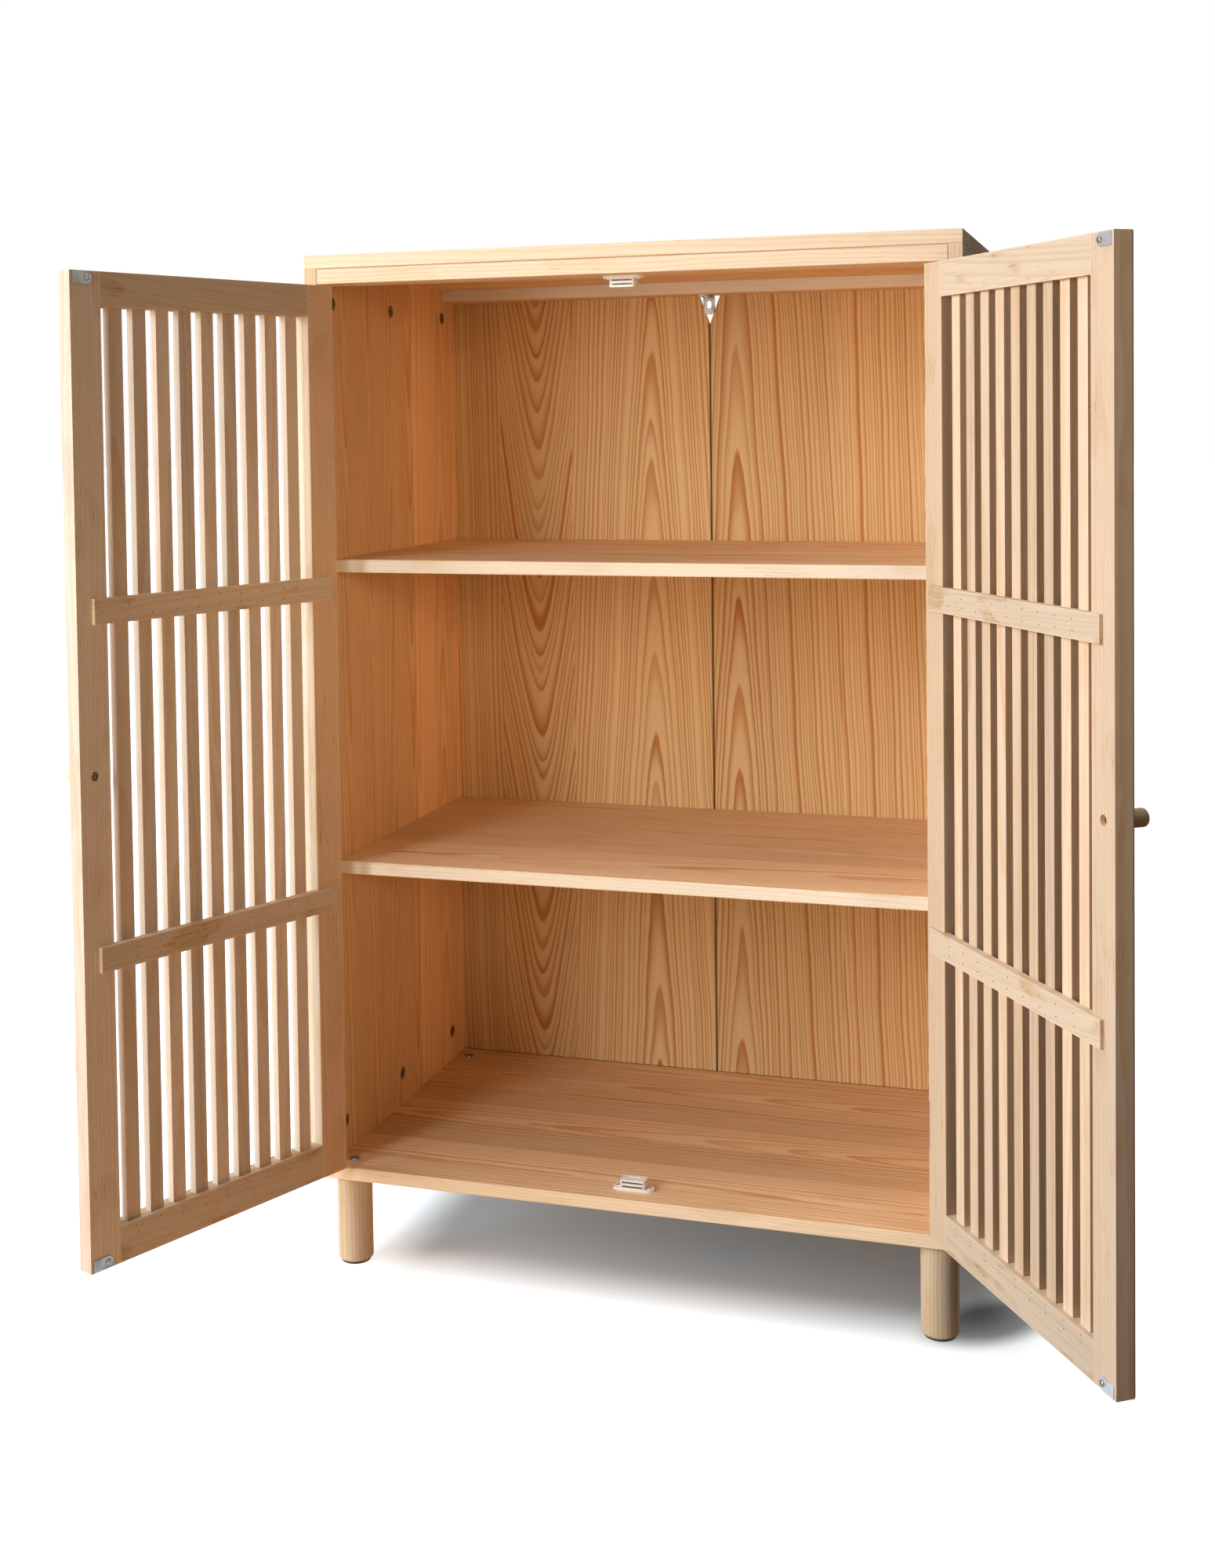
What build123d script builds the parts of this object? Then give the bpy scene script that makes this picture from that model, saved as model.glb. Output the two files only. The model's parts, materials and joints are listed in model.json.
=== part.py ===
from build123d import *
from dataclasses import dataclass
from math import cos, radians, sin
import os

# A free-standing pine cabinet with two slatted doors that hang inside the carcass on butt hinges.
# Millimetres, +Z up, the front towards -Y. The origin is on the floor, under the middle of the carcass.
# The doors rest open, as far as they are seen to stand open.

# Overall size of the carcass
cabinet_height = 1150.0
cabinet_width = 730.0
cabinet_depth = 430.0

# Panels and their joints
top_thick = 15.0
bottom_thick = 15.0
side_thick = 15.0
arris_round = 1.2
rebate_width = 8.0
back_thick = 6.0
back_side_gap = 0.3
back_top_gap = 0.3
back_seam_gap = 0.8
notch_width = 39.0
notch_drop = 52.0

# Shelves
shelf_thick = 15.0
upper_shelf_top = 806.0
lower_shelf_top = 459.0
shelf_setback = 34.5
shelf_back_gap = 0.5
shelf_end_gap = 0.5

# Rails under the top panel
front_rail_deep = 40.0
front_rail_high = 18.0
rear_rail_deep = 42.0
rear_rail_high = 16.0

# Legs, their glides and bolts
leg_length = 98.0
leg_diameter = 40.0
leg_foot_round = 3.0
leg_side_inset = 32.0
leg_front_inset = 26.0
leg_rear_inset = 35.0
glide_thick = 3.0
glide_diameter = 34.0
glide_round = 1.0
leg_bolt_diameter = 8.0
leg_bolt_head_diameter = 14.0
leg_bolt_head_high = 2.4
leg_bolt_crown = 1.2
leg_bolt_reach = 45.0

# Cam fittings and dowels at the corners
cam_diameter = 15.0
cam_deep = 12.0
cam_to_edge = 37.0
cam_recess_length = 8.0
cam_recess_width = 1.6
cam_recess_deep = 2.0
cam_end_inset = 42.0
cam_mid_shift = -5.0
cam_rear_inset = 50.0
cam_bolt_diameter = 7.0
cam_bolt_neck_diameter = 4.5
cam_bolt_head_long = 3.0
cam_bolt_neck_long = 4.0
cam_thread_diameter = 6.0
cam_thread_reach = 11.0
dowel_diameter = 8.0
dowel_length = 30.0
dowel_panel_reach = 11.0
dowel_round = 1.0
dowel_inset = 100.0

# Shelf pins
pin_diameter = 5.0
pin_stand_out = 9.0
pin_reach = 8.0
pin_flat_high = 2.0
pin_front_inset = 60.0
pin_rear_inset = 60.0

# Screws in the wood
rail_screw_head_diameter = 8.0
rail_screw_diameter = 4.0
rail_screw_length = 28.0
rail_screw_shares = (-0.449, -0.36, -0.066, 0.129, 0.36, 0.449)
rear_rail_screw_shares = (-0.42, -0.14, 0.14, 0.42)
back_screw_head_diameter = 6.0
back_screw_diameter = 3.0
back_screw_length = 20.0
back_screw_rail_shares = (0.2, 0.75)
back_screw_side_shares = (0.1, 0.5, 0.9)

# Wall bracket
bracket_thick = 2.0
bracket_width = 15.0
bracket_drop = 24.0
bracket_reach = 30.0
bracket_bend = 1.0
bracket_corner = 6.5
bracket_back_gap = 0.3
bracket_slot_width = 6.0
bracket_slot_length = 10.0
bracket_slot_drop = 11.4
bracket_screw_diameter = 4.0
bracket_screw_head_diameter = 9.5
bracket_screw_head_high = 2.2
bracket_screw_crown = 1.4
bracket_screw_length = 14.0
bracket_screw_back = 15.0

# Doors
door_thick = 20.0
door_side_gap = 3.0
door_meeting_gap = 3.0
door_bottom_gap = 4.0
door_top_gap = 3.0
left_opening_angle = 112.3
right_opening_angle = 123.9
stile_width = 36.0
top_rail_width = 35.0
bottom_rail_width = 37.0
outer_round = 3.0
tenon_thick = 8.0
tenon_long = 12.0
tenon_shoulder = 6.0
tenon_gap = 0.15

# Slats
slat_count = 9
slat_width = 16.0
slat_thick = 9.0
slat_outer_setback = 6.0
slat_pocket_deep = 10.0
slat_pocket_gap = 0.15
slat_end_gap = 0.5

# Battens over the slats
batten_thick = 4.0
batten_high = 25.5
batten_hinge_lap = 25.0
batten_free_lap = 18.0
batten_shoulder_gap = 0.2
batten_arris = 0.8

# Knobs
knob_high = 615.0
knob_diameter = 16.5
knob_reach = 21.5
knob_round = 4.0
knob_screw_diameter = 4.0
knob_screw_head_diameter = 7.5
knob_screw_head_high = 2.6
knob_screw_grip = 9.0
knob_bore_diameter = 10.0
knob_bore_deep = 5.0

# Strike plates
strike_length = 23.0
strike_width = 12.5
strike_thick = 1.0
strike_edge_inset = 3.0
strike_end_inset = 0.5
strike_screw_inset = 20.5
strike_screw_diameter = 3.0
strike_screw_head_diameter = 6.0
strike_screw_head_high = 1.6
strike_screw_crown = 1.0
strike_screw_length = 13.0

# Magnetic catches
catch_flange_length = 46.0
catch_flange_width = 15.0
catch_flange_thick = 3.0
catch_body_width = 28.0
catch_body_high = 12.5
catch_body_corner = 2.0
catch_wall = 1.5
catch_mark_length = 16.0
catch_mark_width = 6.0
catch_mark_deep = 0.5
catch_plate_width = 23.0
catch_plate_thick = 1.2
catch_plate_deep = 11.0
catch_plate_proud = 0.3
catch_plate_high = 7.2
catch_magnet_thick = 3.2
catch_magnet_width = 20.0
catch_magnet_deep = 8.0
catch_strike_gap = 0.4
catch_slot_gap = 0.3
catch_screw_spacing = 34.0
catch_screw_diameter = 3.0
catch_screw_head_diameter = 5.5
catch_screw_head_high = 1.2
catch_screw_crown = 0.8
catch_screw_length = 12.0

# Butt hinges
hinge_length = 50.0
hinge_end_inset = 91.5
hinge_leaf_width = 19.0
hinge_leaf_thick = 1.2
hinge_knuckle_diameter = 6.0
hinge_knuckle_count = 5
hinge_knuckle_gap = 0.3
hinge_pin_diameter = 3.0
hinge_pin_head_diameter = 4.6
hinge_pin_head_high = 0.8
hinge_pin_proud = 3.0
hinge_relief = 0.3
hinge_mortise_gap = 0.3
hinge_screw_head_diameter = 5.4
hinge_screw_diameter = 2.6
hinge_screw_length = 13.0
hinge_screw_spacing = 17.0

# Clearances that many pieces share
fit_gap = 0.05
hole_gap = 0.3
overrun = 5.0

# Levels and faces that follow from the sizes above
bottom_under = glide_thick + leg_length
bottom_top = bottom_under + bottom_thick
top_under = cabinet_height - top_thick
side_high = top_under - bottom_top
front_face = -cabinet_depth / 2
rear_face = cabinet_depth / 2
back_front = rear_face - back_thick
half_inside = cabinet_width / 2 - side_thick
inside_width = 2 * half_inside
front_rail_under = top_under - front_rail_high
rear_rail_under = top_under - rear_rail_high

# The closed doors, from which the open ones are turned
door_foot = bottom_top + door_bottom_gap
door_head = front_rail_under - door_top_gap
door_high = door_head - door_foot
door_width = (inside_width - 2 * door_side_gap - door_meeting_gap) / 2
hinge_axis_x = half_inside - door_side_gap
hinge_axis_y = front_face - hinge_pin_proud
door_outer = hinge_pin_proud
door_inner = door_outer + door_thick
window_start = stile_width
window_end = door_width - stile_width
window_mid = (window_start + window_end) / 2
window_width = window_end - window_start
window_foot = door_foot + bottom_rail_width
window_head = door_head - top_rail_width
slat_gap = (window_width - slat_count * slat_width) / (slat_count + 1)
slat_pitch = slat_width + slat_gap
slat_mid = door_outer + slat_outer_setback + slat_thick / 2
slat_inner = slat_mid + slat_thick / 2
free_stile_mid = door_width - stile_width / 2
hinge_places = (door_foot + hinge_end_inset, door_head - hinge_end_inset - hinge_length)

leg_x = cabinet_width / 2 - leg_side_inset
leg_front_y = front_face + leg_front_inset
leg_rear_y = rear_face - leg_rear_inset
cam_rows = (front_face + cam_end_inset, cam_mid_shift, rear_face - cam_rear_inset)
dowel_rows = (front_face + dowel_inset, rear_face - dowel_inset)
joint_x = cabinet_width / 2 - side_thick / 2
pin_rows = (front_face + shelf_setback + pin_front_inset, back_front - pin_rear_inset)
catch_front = front_face + door_thick + strike_thick + catch_strike_gap + catch_plate_proud
catch_plate_rise = (catch_magnet_thick + catch_plate_thick) / 2
catch_plate_places = ((0, catch_plate_high - catch_plate_rise), (0, catch_plate_high + catch_plate_rise))
bracket_back = back_front - bracket_back_gap
bracket_inner = bracket_back - bracket_thick
bracket_under = rear_rail_under - bracket_thick
bracket_foot = rear_rail_under - bracket_drop
rail_tenons = (
    (door_head - top_rail_width / 2, top_rail_width - 2 * tenon_shoulder),
    (door_foot + bottom_rail_width / 2, bottom_rail_width - 2 * tenon_shoulder),
)
strike_levels = (door_foot + strike_end_inset + strike_width / 2,
                 door_head - strike_end_inset - strike_width / 2)


def on(frame, plane):
    """A plane given in a frame's own axes, carried to where the frame lies."""
    return Plane(frame.location * plane.location)


@dataclass(frozen=True)
class Door:
    """One door: its name, the way it runs from its hinges when closed, and its opening angle."""

    name: str
    way: int
    opening: float

    @property
    def frame(self):
        """The closed door's own axes, carried to where the door stands: origin on the hinge pins."""
        turn = radians(-self.way * self.opening)
        return Plane(
            origin=(-self.way * hinge_axis_x, hinge_axis_y, 0),
            x_dir=(cos(turn), sin(turn), 0),
            z_dir=(0, 0, 1),
        )

    def level(self, height):
        """A plane across the door at a height above the floor."""
        return self.frame.offset(height)

    def face(self, depth):
        """A plane along the door, its first axis across it and its second up, facing out."""
        return on(self.frame, Plane.XZ.offset(-depth))

    def edge(self, across):
        """A plane square to the door's width, its first axis inwards and its second up."""
        return on(self.frame, Plane.YZ.offset(self.way * across))

    def seat(self, across, depth, height, out):
        """A plane at a place on the door that faces a direction of the closed door."""
        return on(self.frame, Plane(origin=(self.way * across, depth, height), z_dir=out))


doors = (Door("left", 1, left_opening_angle), Door("right", -1, right_opening_angle))
ways = {"left": -1, "right": 1}


def keep(piece, name):
    """Label a finished piece and write it."""
    piece.part.label = name
    export_step(piece.part, f"parts/{name}.step")


def outer_edges(piece, door, middle, arris):
    """A plain stile's outer edges: its long arris, at a place across the door, and its two ends'."""
    places = ((arris, door_foot + door_high / 2), (middle, door_foot), (middle, door_head))
    return [
        piece.edges().sort_by_distance(door.seat(across, door_outer, height, (0, -1, 0)).origin)[0]
        for across, height in places
    ]


def turned(outline, seats, mode=Mode.ADD):
    """Turn a half outline of (radius, height) points about the normal of each seat."""
    for seat in seats:
        section = Plane(origin=seat.origin, x_dir=seat.x_dir, z_dir=-seat.y_dir)
        with BuildSketch(section) as half:
            with BuildLine():
                Polyline(*outline, close=True)
            make_face()
        revolve(half.sketch, axis=Axis(seat.origin, seat.z_dir), mode=mode)


def countersunk(head_diameter, shank_diameter, length, gap=0.0):
    """Half outline of a countersunk screw whose head lies flush with its seat."""
    head = head_diameter / 2 + gap
    shank = shank_diameter / 2 + gap
    return [(0, 0), (head, 0), (shank, shank - head), (shank, -length - gap), (0, -length - gap)]


def pan_head(head_diameter, head_high, crown, shank_diameter, length):
    """Half outline of a screw with a low domed head that stands on its seat."""
    head = head_diameter / 2
    shank = shank_diameter / 2
    shoulder = head - crown
    return [(0, head_high), (shoulder, head_high), (head, head_high - crown), (head, 0),
            (shank, 0), (shank, -length), (0, -length)]


def rod(diameter, length, gap=0.0):
    """Half outline of a plain rod or hole that runs back from its seat."""
    radius = diameter / 2 + gap
    return [(0, 0), (radius, 0), (radius, -length), (0, -length)]


def downwards(x, y, z):
    """A seat that faces down."""
    return Plane(origin=(x, y, z), z_dir=(0, 0, -1))


def upwards(x, y, z):
    """A seat that faces up."""
    return Plane(origin=(x, y, z), z_dir=(0, 0, 1))


# Places of the fasteners, shared by the screws and the wood that they enter
leg_places = {
    "front_left": (-leg_x, leg_front_y),
    "front_right": (leg_x, leg_front_y),
    "rear_left": (-leg_x, leg_rear_y),
    "rear_right": (leg_x, leg_rear_y),
}
leg_bolt_seats = [upwards(x, y, bottom_top) for x, y in leg_places.values()]
front_rail_y = front_face + front_rail_deep / 2
rear_rail_y = back_front - rear_rail_deep / 2
front_rail_seats = [downwards(share * inside_width, front_rail_y, front_rail_under)
                    for share in rail_screw_shares]
rear_rail_seats = [downwards(share * inside_width, rear_rail_y, rear_rail_under)
                   for share in rear_rail_screw_shares]
rail_screw_hole = countersunk(rail_screw_head_diameter, rail_screw_diameter, rail_screw_length, fit_gap)
back_screw_hole = countersunk(back_screw_head_diameter, back_screw_diameter, back_screw_length, fit_gap)
leg_bolt_hole = rod(leg_bolt_diameter, bottom_thick + leg_bolt_reach, hole_gap)
leg_bolt_bore = rod(leg_bolt_diameter, bottom_thick + leg_bolt_reach, fit_gap)
bracket_screw_seat = downwards(0, bracket_back - bracket_screw_back, bracket_under)
bracket_screw_hole = rod(bracket_screw_diameter, bracket_screw_length, fit_gap)
cam_thread_hole = rod(cam_thread_diameter, cam_thread_reach, fit_gap)
dowel_hole = rod(dowel_diameter, dowel_panel_reach, fit_gap)
catch_screw_hole = rod(catch_screw_diameter, catch_screw_length - catch_flange_thick, fit_gap)
upper_catch = Plane(origin=(0, catch_front, front_rail_under), x_dir=(-1, 0, 0), z_dir=(0, 0, -1))
lower_catch = Plane(origin=(0, catch_front, bottom_top), x_dir=(1, 0, 0), z_dir=(0, 0, 1))


def catch_screw_seats(catch, height):
    """Seats of a catch's two screws at a height above what the catch is screwed to."""
    reach = catch_screw_spacing / 2
    return [on(catch, Plane(origin=(x, catch_flange_width / 2, height))) for x in (-reach, reach)]


def backwards(x, y, z):
    """A seat that faces the rear."""
    return Plane(origin=(x, y, z), z_dir=(0, 1, 0))


def back_rail_seats(way):
    """Seats of the screws through one half of the back panel into the rear rail."""
    rail_z = top_under - rear_rail_high / 2
    return [backwards(way * share * half_inside, rear_face, rail_z) for share in back_screw_rail_shares]


def back_side_seats(way):
    """Seats of the screws through one half of the back panel into the side panel's rebate."""
    side_x = way * (half_inside + rebate_width / 2)
    return [backwards(side_x, rear_face, bottom_top + share * side_high)
            for share in back_screw_side_shares]


def top_joint_seats(way, rows):
    """Seats over one side panel, on the face where the top panel lies on it, facing down."""
    return [downwards(way * joint_x, y, top_under) for y in rows]


def bottom_joint_seats(way, rows):
    """Seats under one side panel, on the face where it stands on the bottom panel, facing up."""
    return [upwards(way * joint_x, y, bottom_top) for y in rows]


def shelf_pin_places():
    """Places (y, z) of one side's shelf pins, whose flats carry the shelves."""
    levels = [top - shelf_thick - pin_flat_high for top in (upper_shelf_top, lower_shelf_top)]
    return [(y, z) for z in levels for y in pin_rows]


cam_levels = (bottom_top + cam_to_edge, top_under - cam_to_edge)
dowel_side_reach = dowel_length - dowel_panel_reach

# A cam bolt from its threaded end to its head, beside the bore that a cam has for it
cam_bolt_tip = cam_to_edge + cam_bolt_head_long / 2
cam_bolt_head_start = cam_bolt_tip - cam_bolt_head_long
cam_bolt_neck_start = cam_bolt_head_start - cam_bolt_neck_long
cam_bolt_outline = [
    (0, -cam_thread_reach), (cam_thread_diameter / 2, -cam_thread_reach), (cam_thread_diameter / 2, 0),
    (cam_bolt_diameter / 2, 0), (cam_bolt_diameter / 2, cam_bolt_neck_start),
    (cam_bolt_neck_diameter / 2, cam_bolt_neck_start), (cam_bolt_neck_diameter / 2, cam_bolt_head_start),
    (cam_bolt_diameter / 2, cam_bolt_head_start), (cam_bolt_diameter / 2, cam_bolt_tip),
    (0, cam_bolt_tip),
]
cam_bore_start = cam_to_edge - cam_diameter
cam_bore_radius = cam_bolt_diameter / 2 + hole_gap
cam_bore = [(0, cam_bore_start), (cam_bore_radius, cam_bore_start),
            (cam_bore_radius, cam_bolt_tip + hole_gap), (0, cam_bolt_tip + hole_gap)]
dowel_outline = [
    (0, -dowel_panel_reach), (dowel_diameter / 2 - dowel_round, -dowel_panel_reach),
    (dowel_diameter / 2, -dowel_panel_reach + dowel_round),
    (dowel_diameter / 2, dowel_side_reach - dowel_round),
    (dowel_diameter / 2 - dowel_round, dowel_side_reach), (0, dowel_side_reach),
]
hinge_pin_outline = [
    (0, -hinge_pin_head_high), (hinge_pin_head_diameter / 2, -hinge_pin_head_high),
    (hinge_pin_head_diameter / 2, 0), (hinge_pin_diameter / 2, 0),
    (hinge_pin_diameter / 2, hinge_length), (hinge_pin_head_diameter / 2, hinge_length),
    (hinge_pin_head_diameter / 2, hinge_length + hinge_pin_head_high),
    (0, hinge_length + hinge_pin_head_high),
]


def hinge_screw_places(foot):
    """Heights of one hinge leaf's three screws."""
    middle = foot + hinge_length / 2
    return (middle - hinge_screw_spacing, middle, middle + hinge_screw_spacing)


def leaf_screw_depth():
    """Distance of a leaf's screws inwards from the pin."""
    return hinge_knuckle_diameter / 2 + hinge_relief + hinge_leaf_width / 2


def carcass_leaf_seats(way):
    """Seats of the screws through one side's hinge leaves, on the leaves' faces."""
    x = way * (half_inside - hinge_leaf_thick)
    y = hinge_axis_y + leaf_screw_depth()
    return [Plane(origin=(x, y, z), z_dir=(-way, 0, 0))
            for foot in hinge_places for z in hinge_screw_places(foot)]


def door_leaf_seats(door):
    """Seats of the screws through a door's hinge leaves, on the leaves' faces."""
    return [door.seat(0, leaf_screw_depth(), z, (-door.way, 0, 0))
            for foot in hinge_places for z in hinge_screw_places(foot)]


hinge_screw_hole = countersunk(hinge_screw_head_diameter, hinge_screw_diameter,
                               hinge_screw_length, fit_gap)


def knob_bore_seat(door):
    """The counterbore's mouth for a knob's screw, on the inner face of the free stile."""
    return door.seat(free_stile_mid, door_inner, knob_high, (0, 1, 0))


def strike_screw_seats(door):
    """Seats of the strike plates' screws, on the plates."""
    across = door_width - strike_screw_inset
    return [door.seat(across, door_inner + strike_thick, z, (0, 1, 0)) for z in strike_levels]

os.makedirs("parts", exist_ok=True)

# Top panel: lies on the sides, with blind holes for the cam bolts, dowels and rail screws
with BuildPart() as top_panel:
    with BuildSketch(Plane.XY.offset(top_under)):
        Rectangle(cabinet_width, cabinet_depth)
    extrude(amount=top_thick)
    fillet(top_panel.edges(), arris_round)
    for way in ways.values():
        turned(cam_thread_hole, top_joint_seats(way, cam_rows), Mode.SUBTRACT)
        turned(dowel_hole, top_joint_seats(way, dowel_rows), Mode.SUBTRACT)
    turned(rail_screw_hole, front_rail_seats + rear_rail_seats, Mode.SUBTRACT)
keep(top_panel, "top_panel")

# Bottom panel: carries the sides, and the bolts of the legs pass through it
with BuildPart() as bottom_panel:
    with BuildSketch(Plane.XY.offset(bottom_under)):
        Rectangle(cabinet_width, cabinet_depth)
    extrude(amount=bottom_thick)
    fillet(bottom_panel.edges(), arris_round)
    turned(leg_bolt_hole, leg_bolt_seats, Mode.SUBTRACT)
    for way in ways.values():
        turned(cam_thread_hole, bottom_joint_seats(way, cam_rows), Mode.SUBTRACT)
        turned(dowel_hole, bottom_joint_seats(way, dowel_rows), Mode.SUBTRACT)
    turned(catch_screw_hole, catch_screw_seats(lower_catch, 0), Mode.SUBTRACT)
keep(bottom_panel, "bottom_panel")

# Side panels: rebated at the rear for the back, bored for cams, bolts, dowels, pins and screws
for name, way in ways.items():
    with BuildPart() as side_panel:
        with BuildSketch(Plane.XY.offset(bottom_top)) as outline:
            with Locations((way * joint_x, 0)):
                Rectangle(side_thick, cabinet_depth)
            fillet(outline.vertices().group_by(Axis.Y)[0], arris_round)
            with Locations((way * (half_inside + rebate_width / 2), rear_face - back_thick / 2)):
                Rectangle(rebate_width, back_thick, mode=Mode.SUBTRACT)
        extrude(amount=side_high)
        with BuildSketch(Plane.YZ.offset(way * half_inside)):
            with Locations(*[(y, z) for z in cam_levels for y in cam_rows]):
                Circle(cam_diameter / 2 + fit_gap)
        extrude(amount=way * (cam_deep + fit_gap), mode=Mode.SUBTRACT)
        with BuildSketch(Plane.YZ.offset(way * half_inside)):
            with Locations(*shelf_pin_places()):
                Circle(pin_diameter / 2 + fit_gap)
        extrude(amount=way * pin_reach, mode=Mode.SUBTRACT)
        for level, sign in ((top_under, -1), (bottom_top, 1)):
            with BuildSketch(Plane.XY.offset(level)):
                with Locations(*[(way * joint_x, y) for y in cam_rows]):
                    Circle(cam_bolt_diameter / 2 + hole_gap)
            extrude(amount=sign * cam_to_edge, mode=Mode.SUBTRACT)
            with BuildSketch(Plane.XY.offset(level)):
                with Locations(*[(way * joint_x, y) for y in dowel_rows]):
                    Circle(dowel_diameter / 2 + fit_gap)
            extrude(amount=sign * dowel_side_reach, mode=Mode.SUBTRACT)
        turned(hinge_screw_hole, carcass_leaf_seats(way), Mode.SUBTRACT)
        turned(back_screw_hole, back_side_seats(way), Mode.SUBTRACT)
    keep(side_panel, f"{name}_side_panel")

# Rails between the sides, screwed up into the top panel
with BuildPart() as front_top_rail:
    with BuildSketch(Plane.XY.offset(front_rail_under)):
        with Locations((0, front_rail_y)):
            Rectangle(inside_width, front_rail_deep)
    extrude(amount=front_rail_high)
    fillet(front_top_rail.edges().filter_by(Axis.X).group_by(Axis.Z)[0], arris_round)
    turned(rail_screw_hole, front_rail_seats, Mode.SUBTRACT)
    turned(catch_screw_hole, catch_screw_seats(upper_catch, 0), Mode.SUBTRACT)
keep(front_top_rail, "front_top_rail")

with BuildPart() as rear_top_rail:
    with BuildSketch(Plane.XY.offset(rear_rail_under)):
        with Locations((0, rear_rail_y)):
            Rectangle(inside_width, rear_rail_deep)
    extrude(amount=rear_rail_high)
    turned(rail_screw_hole, rear_rail_seats, Mode.SUBTRACT)
    turned(bracket_screw_hole, [bracket_screw_seat], Mode.SUBTRACT)
    for way in ways.values():
        turned(back_screw_hole, back_rail_seats(way), Mode.SUBTRACT)
keep(rear_top_rail, "rear_top_rail")

# Shelves, loose on their pins, set back behind the closed doors
for name, shelf_top in (("upper_shelf", upper_shelf_top), ("lower_shelf", lower_shelf_top)):
    shelf_front = front_face + shelf_setback
    shelf_deep = back_front - shelf_back_gap - shelf_front
    with BuildPart() as shelf:
        with BuildSketch(Plane.XY.offset(shelf_top - shelf_thick)):
            with Locations((0, shelf_front + shelf_deep / 2)):
                Rectangle(inside_width - 2 * shelf_end_gap, shelf_deep)
        extrude(amount=shelf_thick)
        fillet(shelf.edges().filter_by(Axis.X).group_by(Axis.Y)[0], arris_round)
    keep(shelf, name)

# Back panel in two halves that meet at a seam, with a corner cut off each for the notch
for name, way in ways.items():
    back_side = way * (half_inside + rebate_width - back_side_gap)
    back_seam = way * back_seam_gap / 2
    back_head = top_under - back_top_gap
    with BuildPart() as back_panel:
        with BuildSketch(Plane.XZ.offset(-back_front)):
            with BuildLine():
                Polyline((back_seam, bottom_top), (back_side, bottom_top), (back_side, back_head),
                         (way * notch_width / 2, back_head), (back_seam, back_head - notch_drop),
                         close=True)
            make_face()
        extrude(amount=-back_thick)
        turned(back_screw_hole, back_rail_seats(way) + back_side_seats(way), Mode.SUBTRACT)
    keep(back_panel, f"back_panel_{name}")

# Legs: turned, rounded at the foot, bored from above for their bolts
for name, place in leg_places.items():
    with BuildPart() as leg:
        with BuildSketch(Plane.XY.offset(glide_thick)):
            with Locations(place):
                Circle(leg_diameter / 2)
        extrude(amount=leg_length)
        fillet(leg.edges().group_by(Axis.Z)[0], leg_foot_round)
        turned(leg_bolt_bore, [upwards(*place, bottom_top)], Mode.SUBTRACT)
    keep(leg, f"{name}_leg")

with BuildPart() as foot_glides:
    with BuildSketch(Plane.XY):
        with Locations(*leg_places.values()):
            Circle(glide_diameter / 2)
    extrude(amount=glide_thick)
    fillet(foot_glides.edges().group_by(Axis.Z)[0], glide_round)
keep(foot_glides, "foot_glides")

with BuildPart() as leg_bolts:
    turned(pan_head(leg_bolt_head_diameter, leg_bolt_head_high, leg_bolt_crown,
                    leg_bolt_diameter, bottom_thick + leg_bolt_reach), leg_bolt_seats)
keep(leg_bolts, "leg_bolts")

# Cam locks: discs flush with the sides' inner faces, with a cross recess and a bore for the bolt
with BuildPart() as cam_locks:
    for way in ways.values():
        cam_places = [(y, z) for z in cam_levels for y in cam_rows]
        with BuildSketch(Plane.YZ.offset(way * half_inside)):
            with Locations(*cam_places):
                Circle(cam_diameter / 2)
        extrude(amount=way * cam_deep)
        with BuildSketch(Plane.YZ.offset(way * half_inside)):
            with Locations(*cam_places):
                Rectangle(cam_recess_length, cam_recess_width)
                Rectangle(cam_recess_width, cam_recess_length)
        extrude(amount=way * cam_recess_deep, mode=Mode.SUBTRACT)
        seats = top_joint_seats(way, cam_rows) + bottom_joint_seats(way, cam_rows)
        turned(cam_bore, seats, Mode.SUBTRACT)
keep(cam_locks, "cam_locks")

# Cam bolts: threaded into the panels, with a necked head that a cam pulls on
with BuildPart() as cam_bolts:
    for way in ways.values():
        turned(cam_bolt_outline, top_joint_seats(way, cam_rows) + bottom_joint_seats(way, cam_rows))
keep(cam_bolts, "cam_bolts")

with BuildPart() as corner_dowels:
    for way in ways.values():
        seats = top_joint_seats(way, dowel_rows) + bottom_joint_seats(way, dowel_rows)
        turned(dowel_outline, seats)
keep(corner_dowels, "corner_dowels")

# Shelf pins: round where they enter the side, with a flat on top where the shelf lies
with BuildPart() as shelf_pins:
    for way in ways.values():
        with BuildSketch(Plane.YZ.offset(way * half_inside)):
            with Locations(*shelf_pin_places()):
                Circle(pin_diameter / 2)
        extrude(amount=way * pin_reach)
        with BuildSketch(Plane.YZ.offset(way * half_inside)):
            with Locations(*shelf_pin_places()):
                Circle(pin_diameter / 2)
            with Locations(*[(y, z + pin_flat_high + pin_diameter / 2) for y, z in shelf_pin_places()]):
                Rectangle(pin_diameter, pin_diameter, mode=Mode.SUBTRACT)
        extrude(amount=-way * pin_stand_out)
keep(shelf_pins, "shelf_pins")

with BuildPart() as rail_screws:
    turned(countersunk(rail_screw_head_diameter, rail_screw_diameter, rail_screw_length),
           front_rail_seats + rear_rail_seats)
keep(rail_screws, "rail_screws")

with BuildPart() as back_screws:
    for way in ways.values():
        turned(countersunk(back_screw_head_diameter, back_screw_diameter, back_screw_length),
               back_rail_seats(way) + back_side_seats(way))
keep(back_screws, "back_screws")

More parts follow.
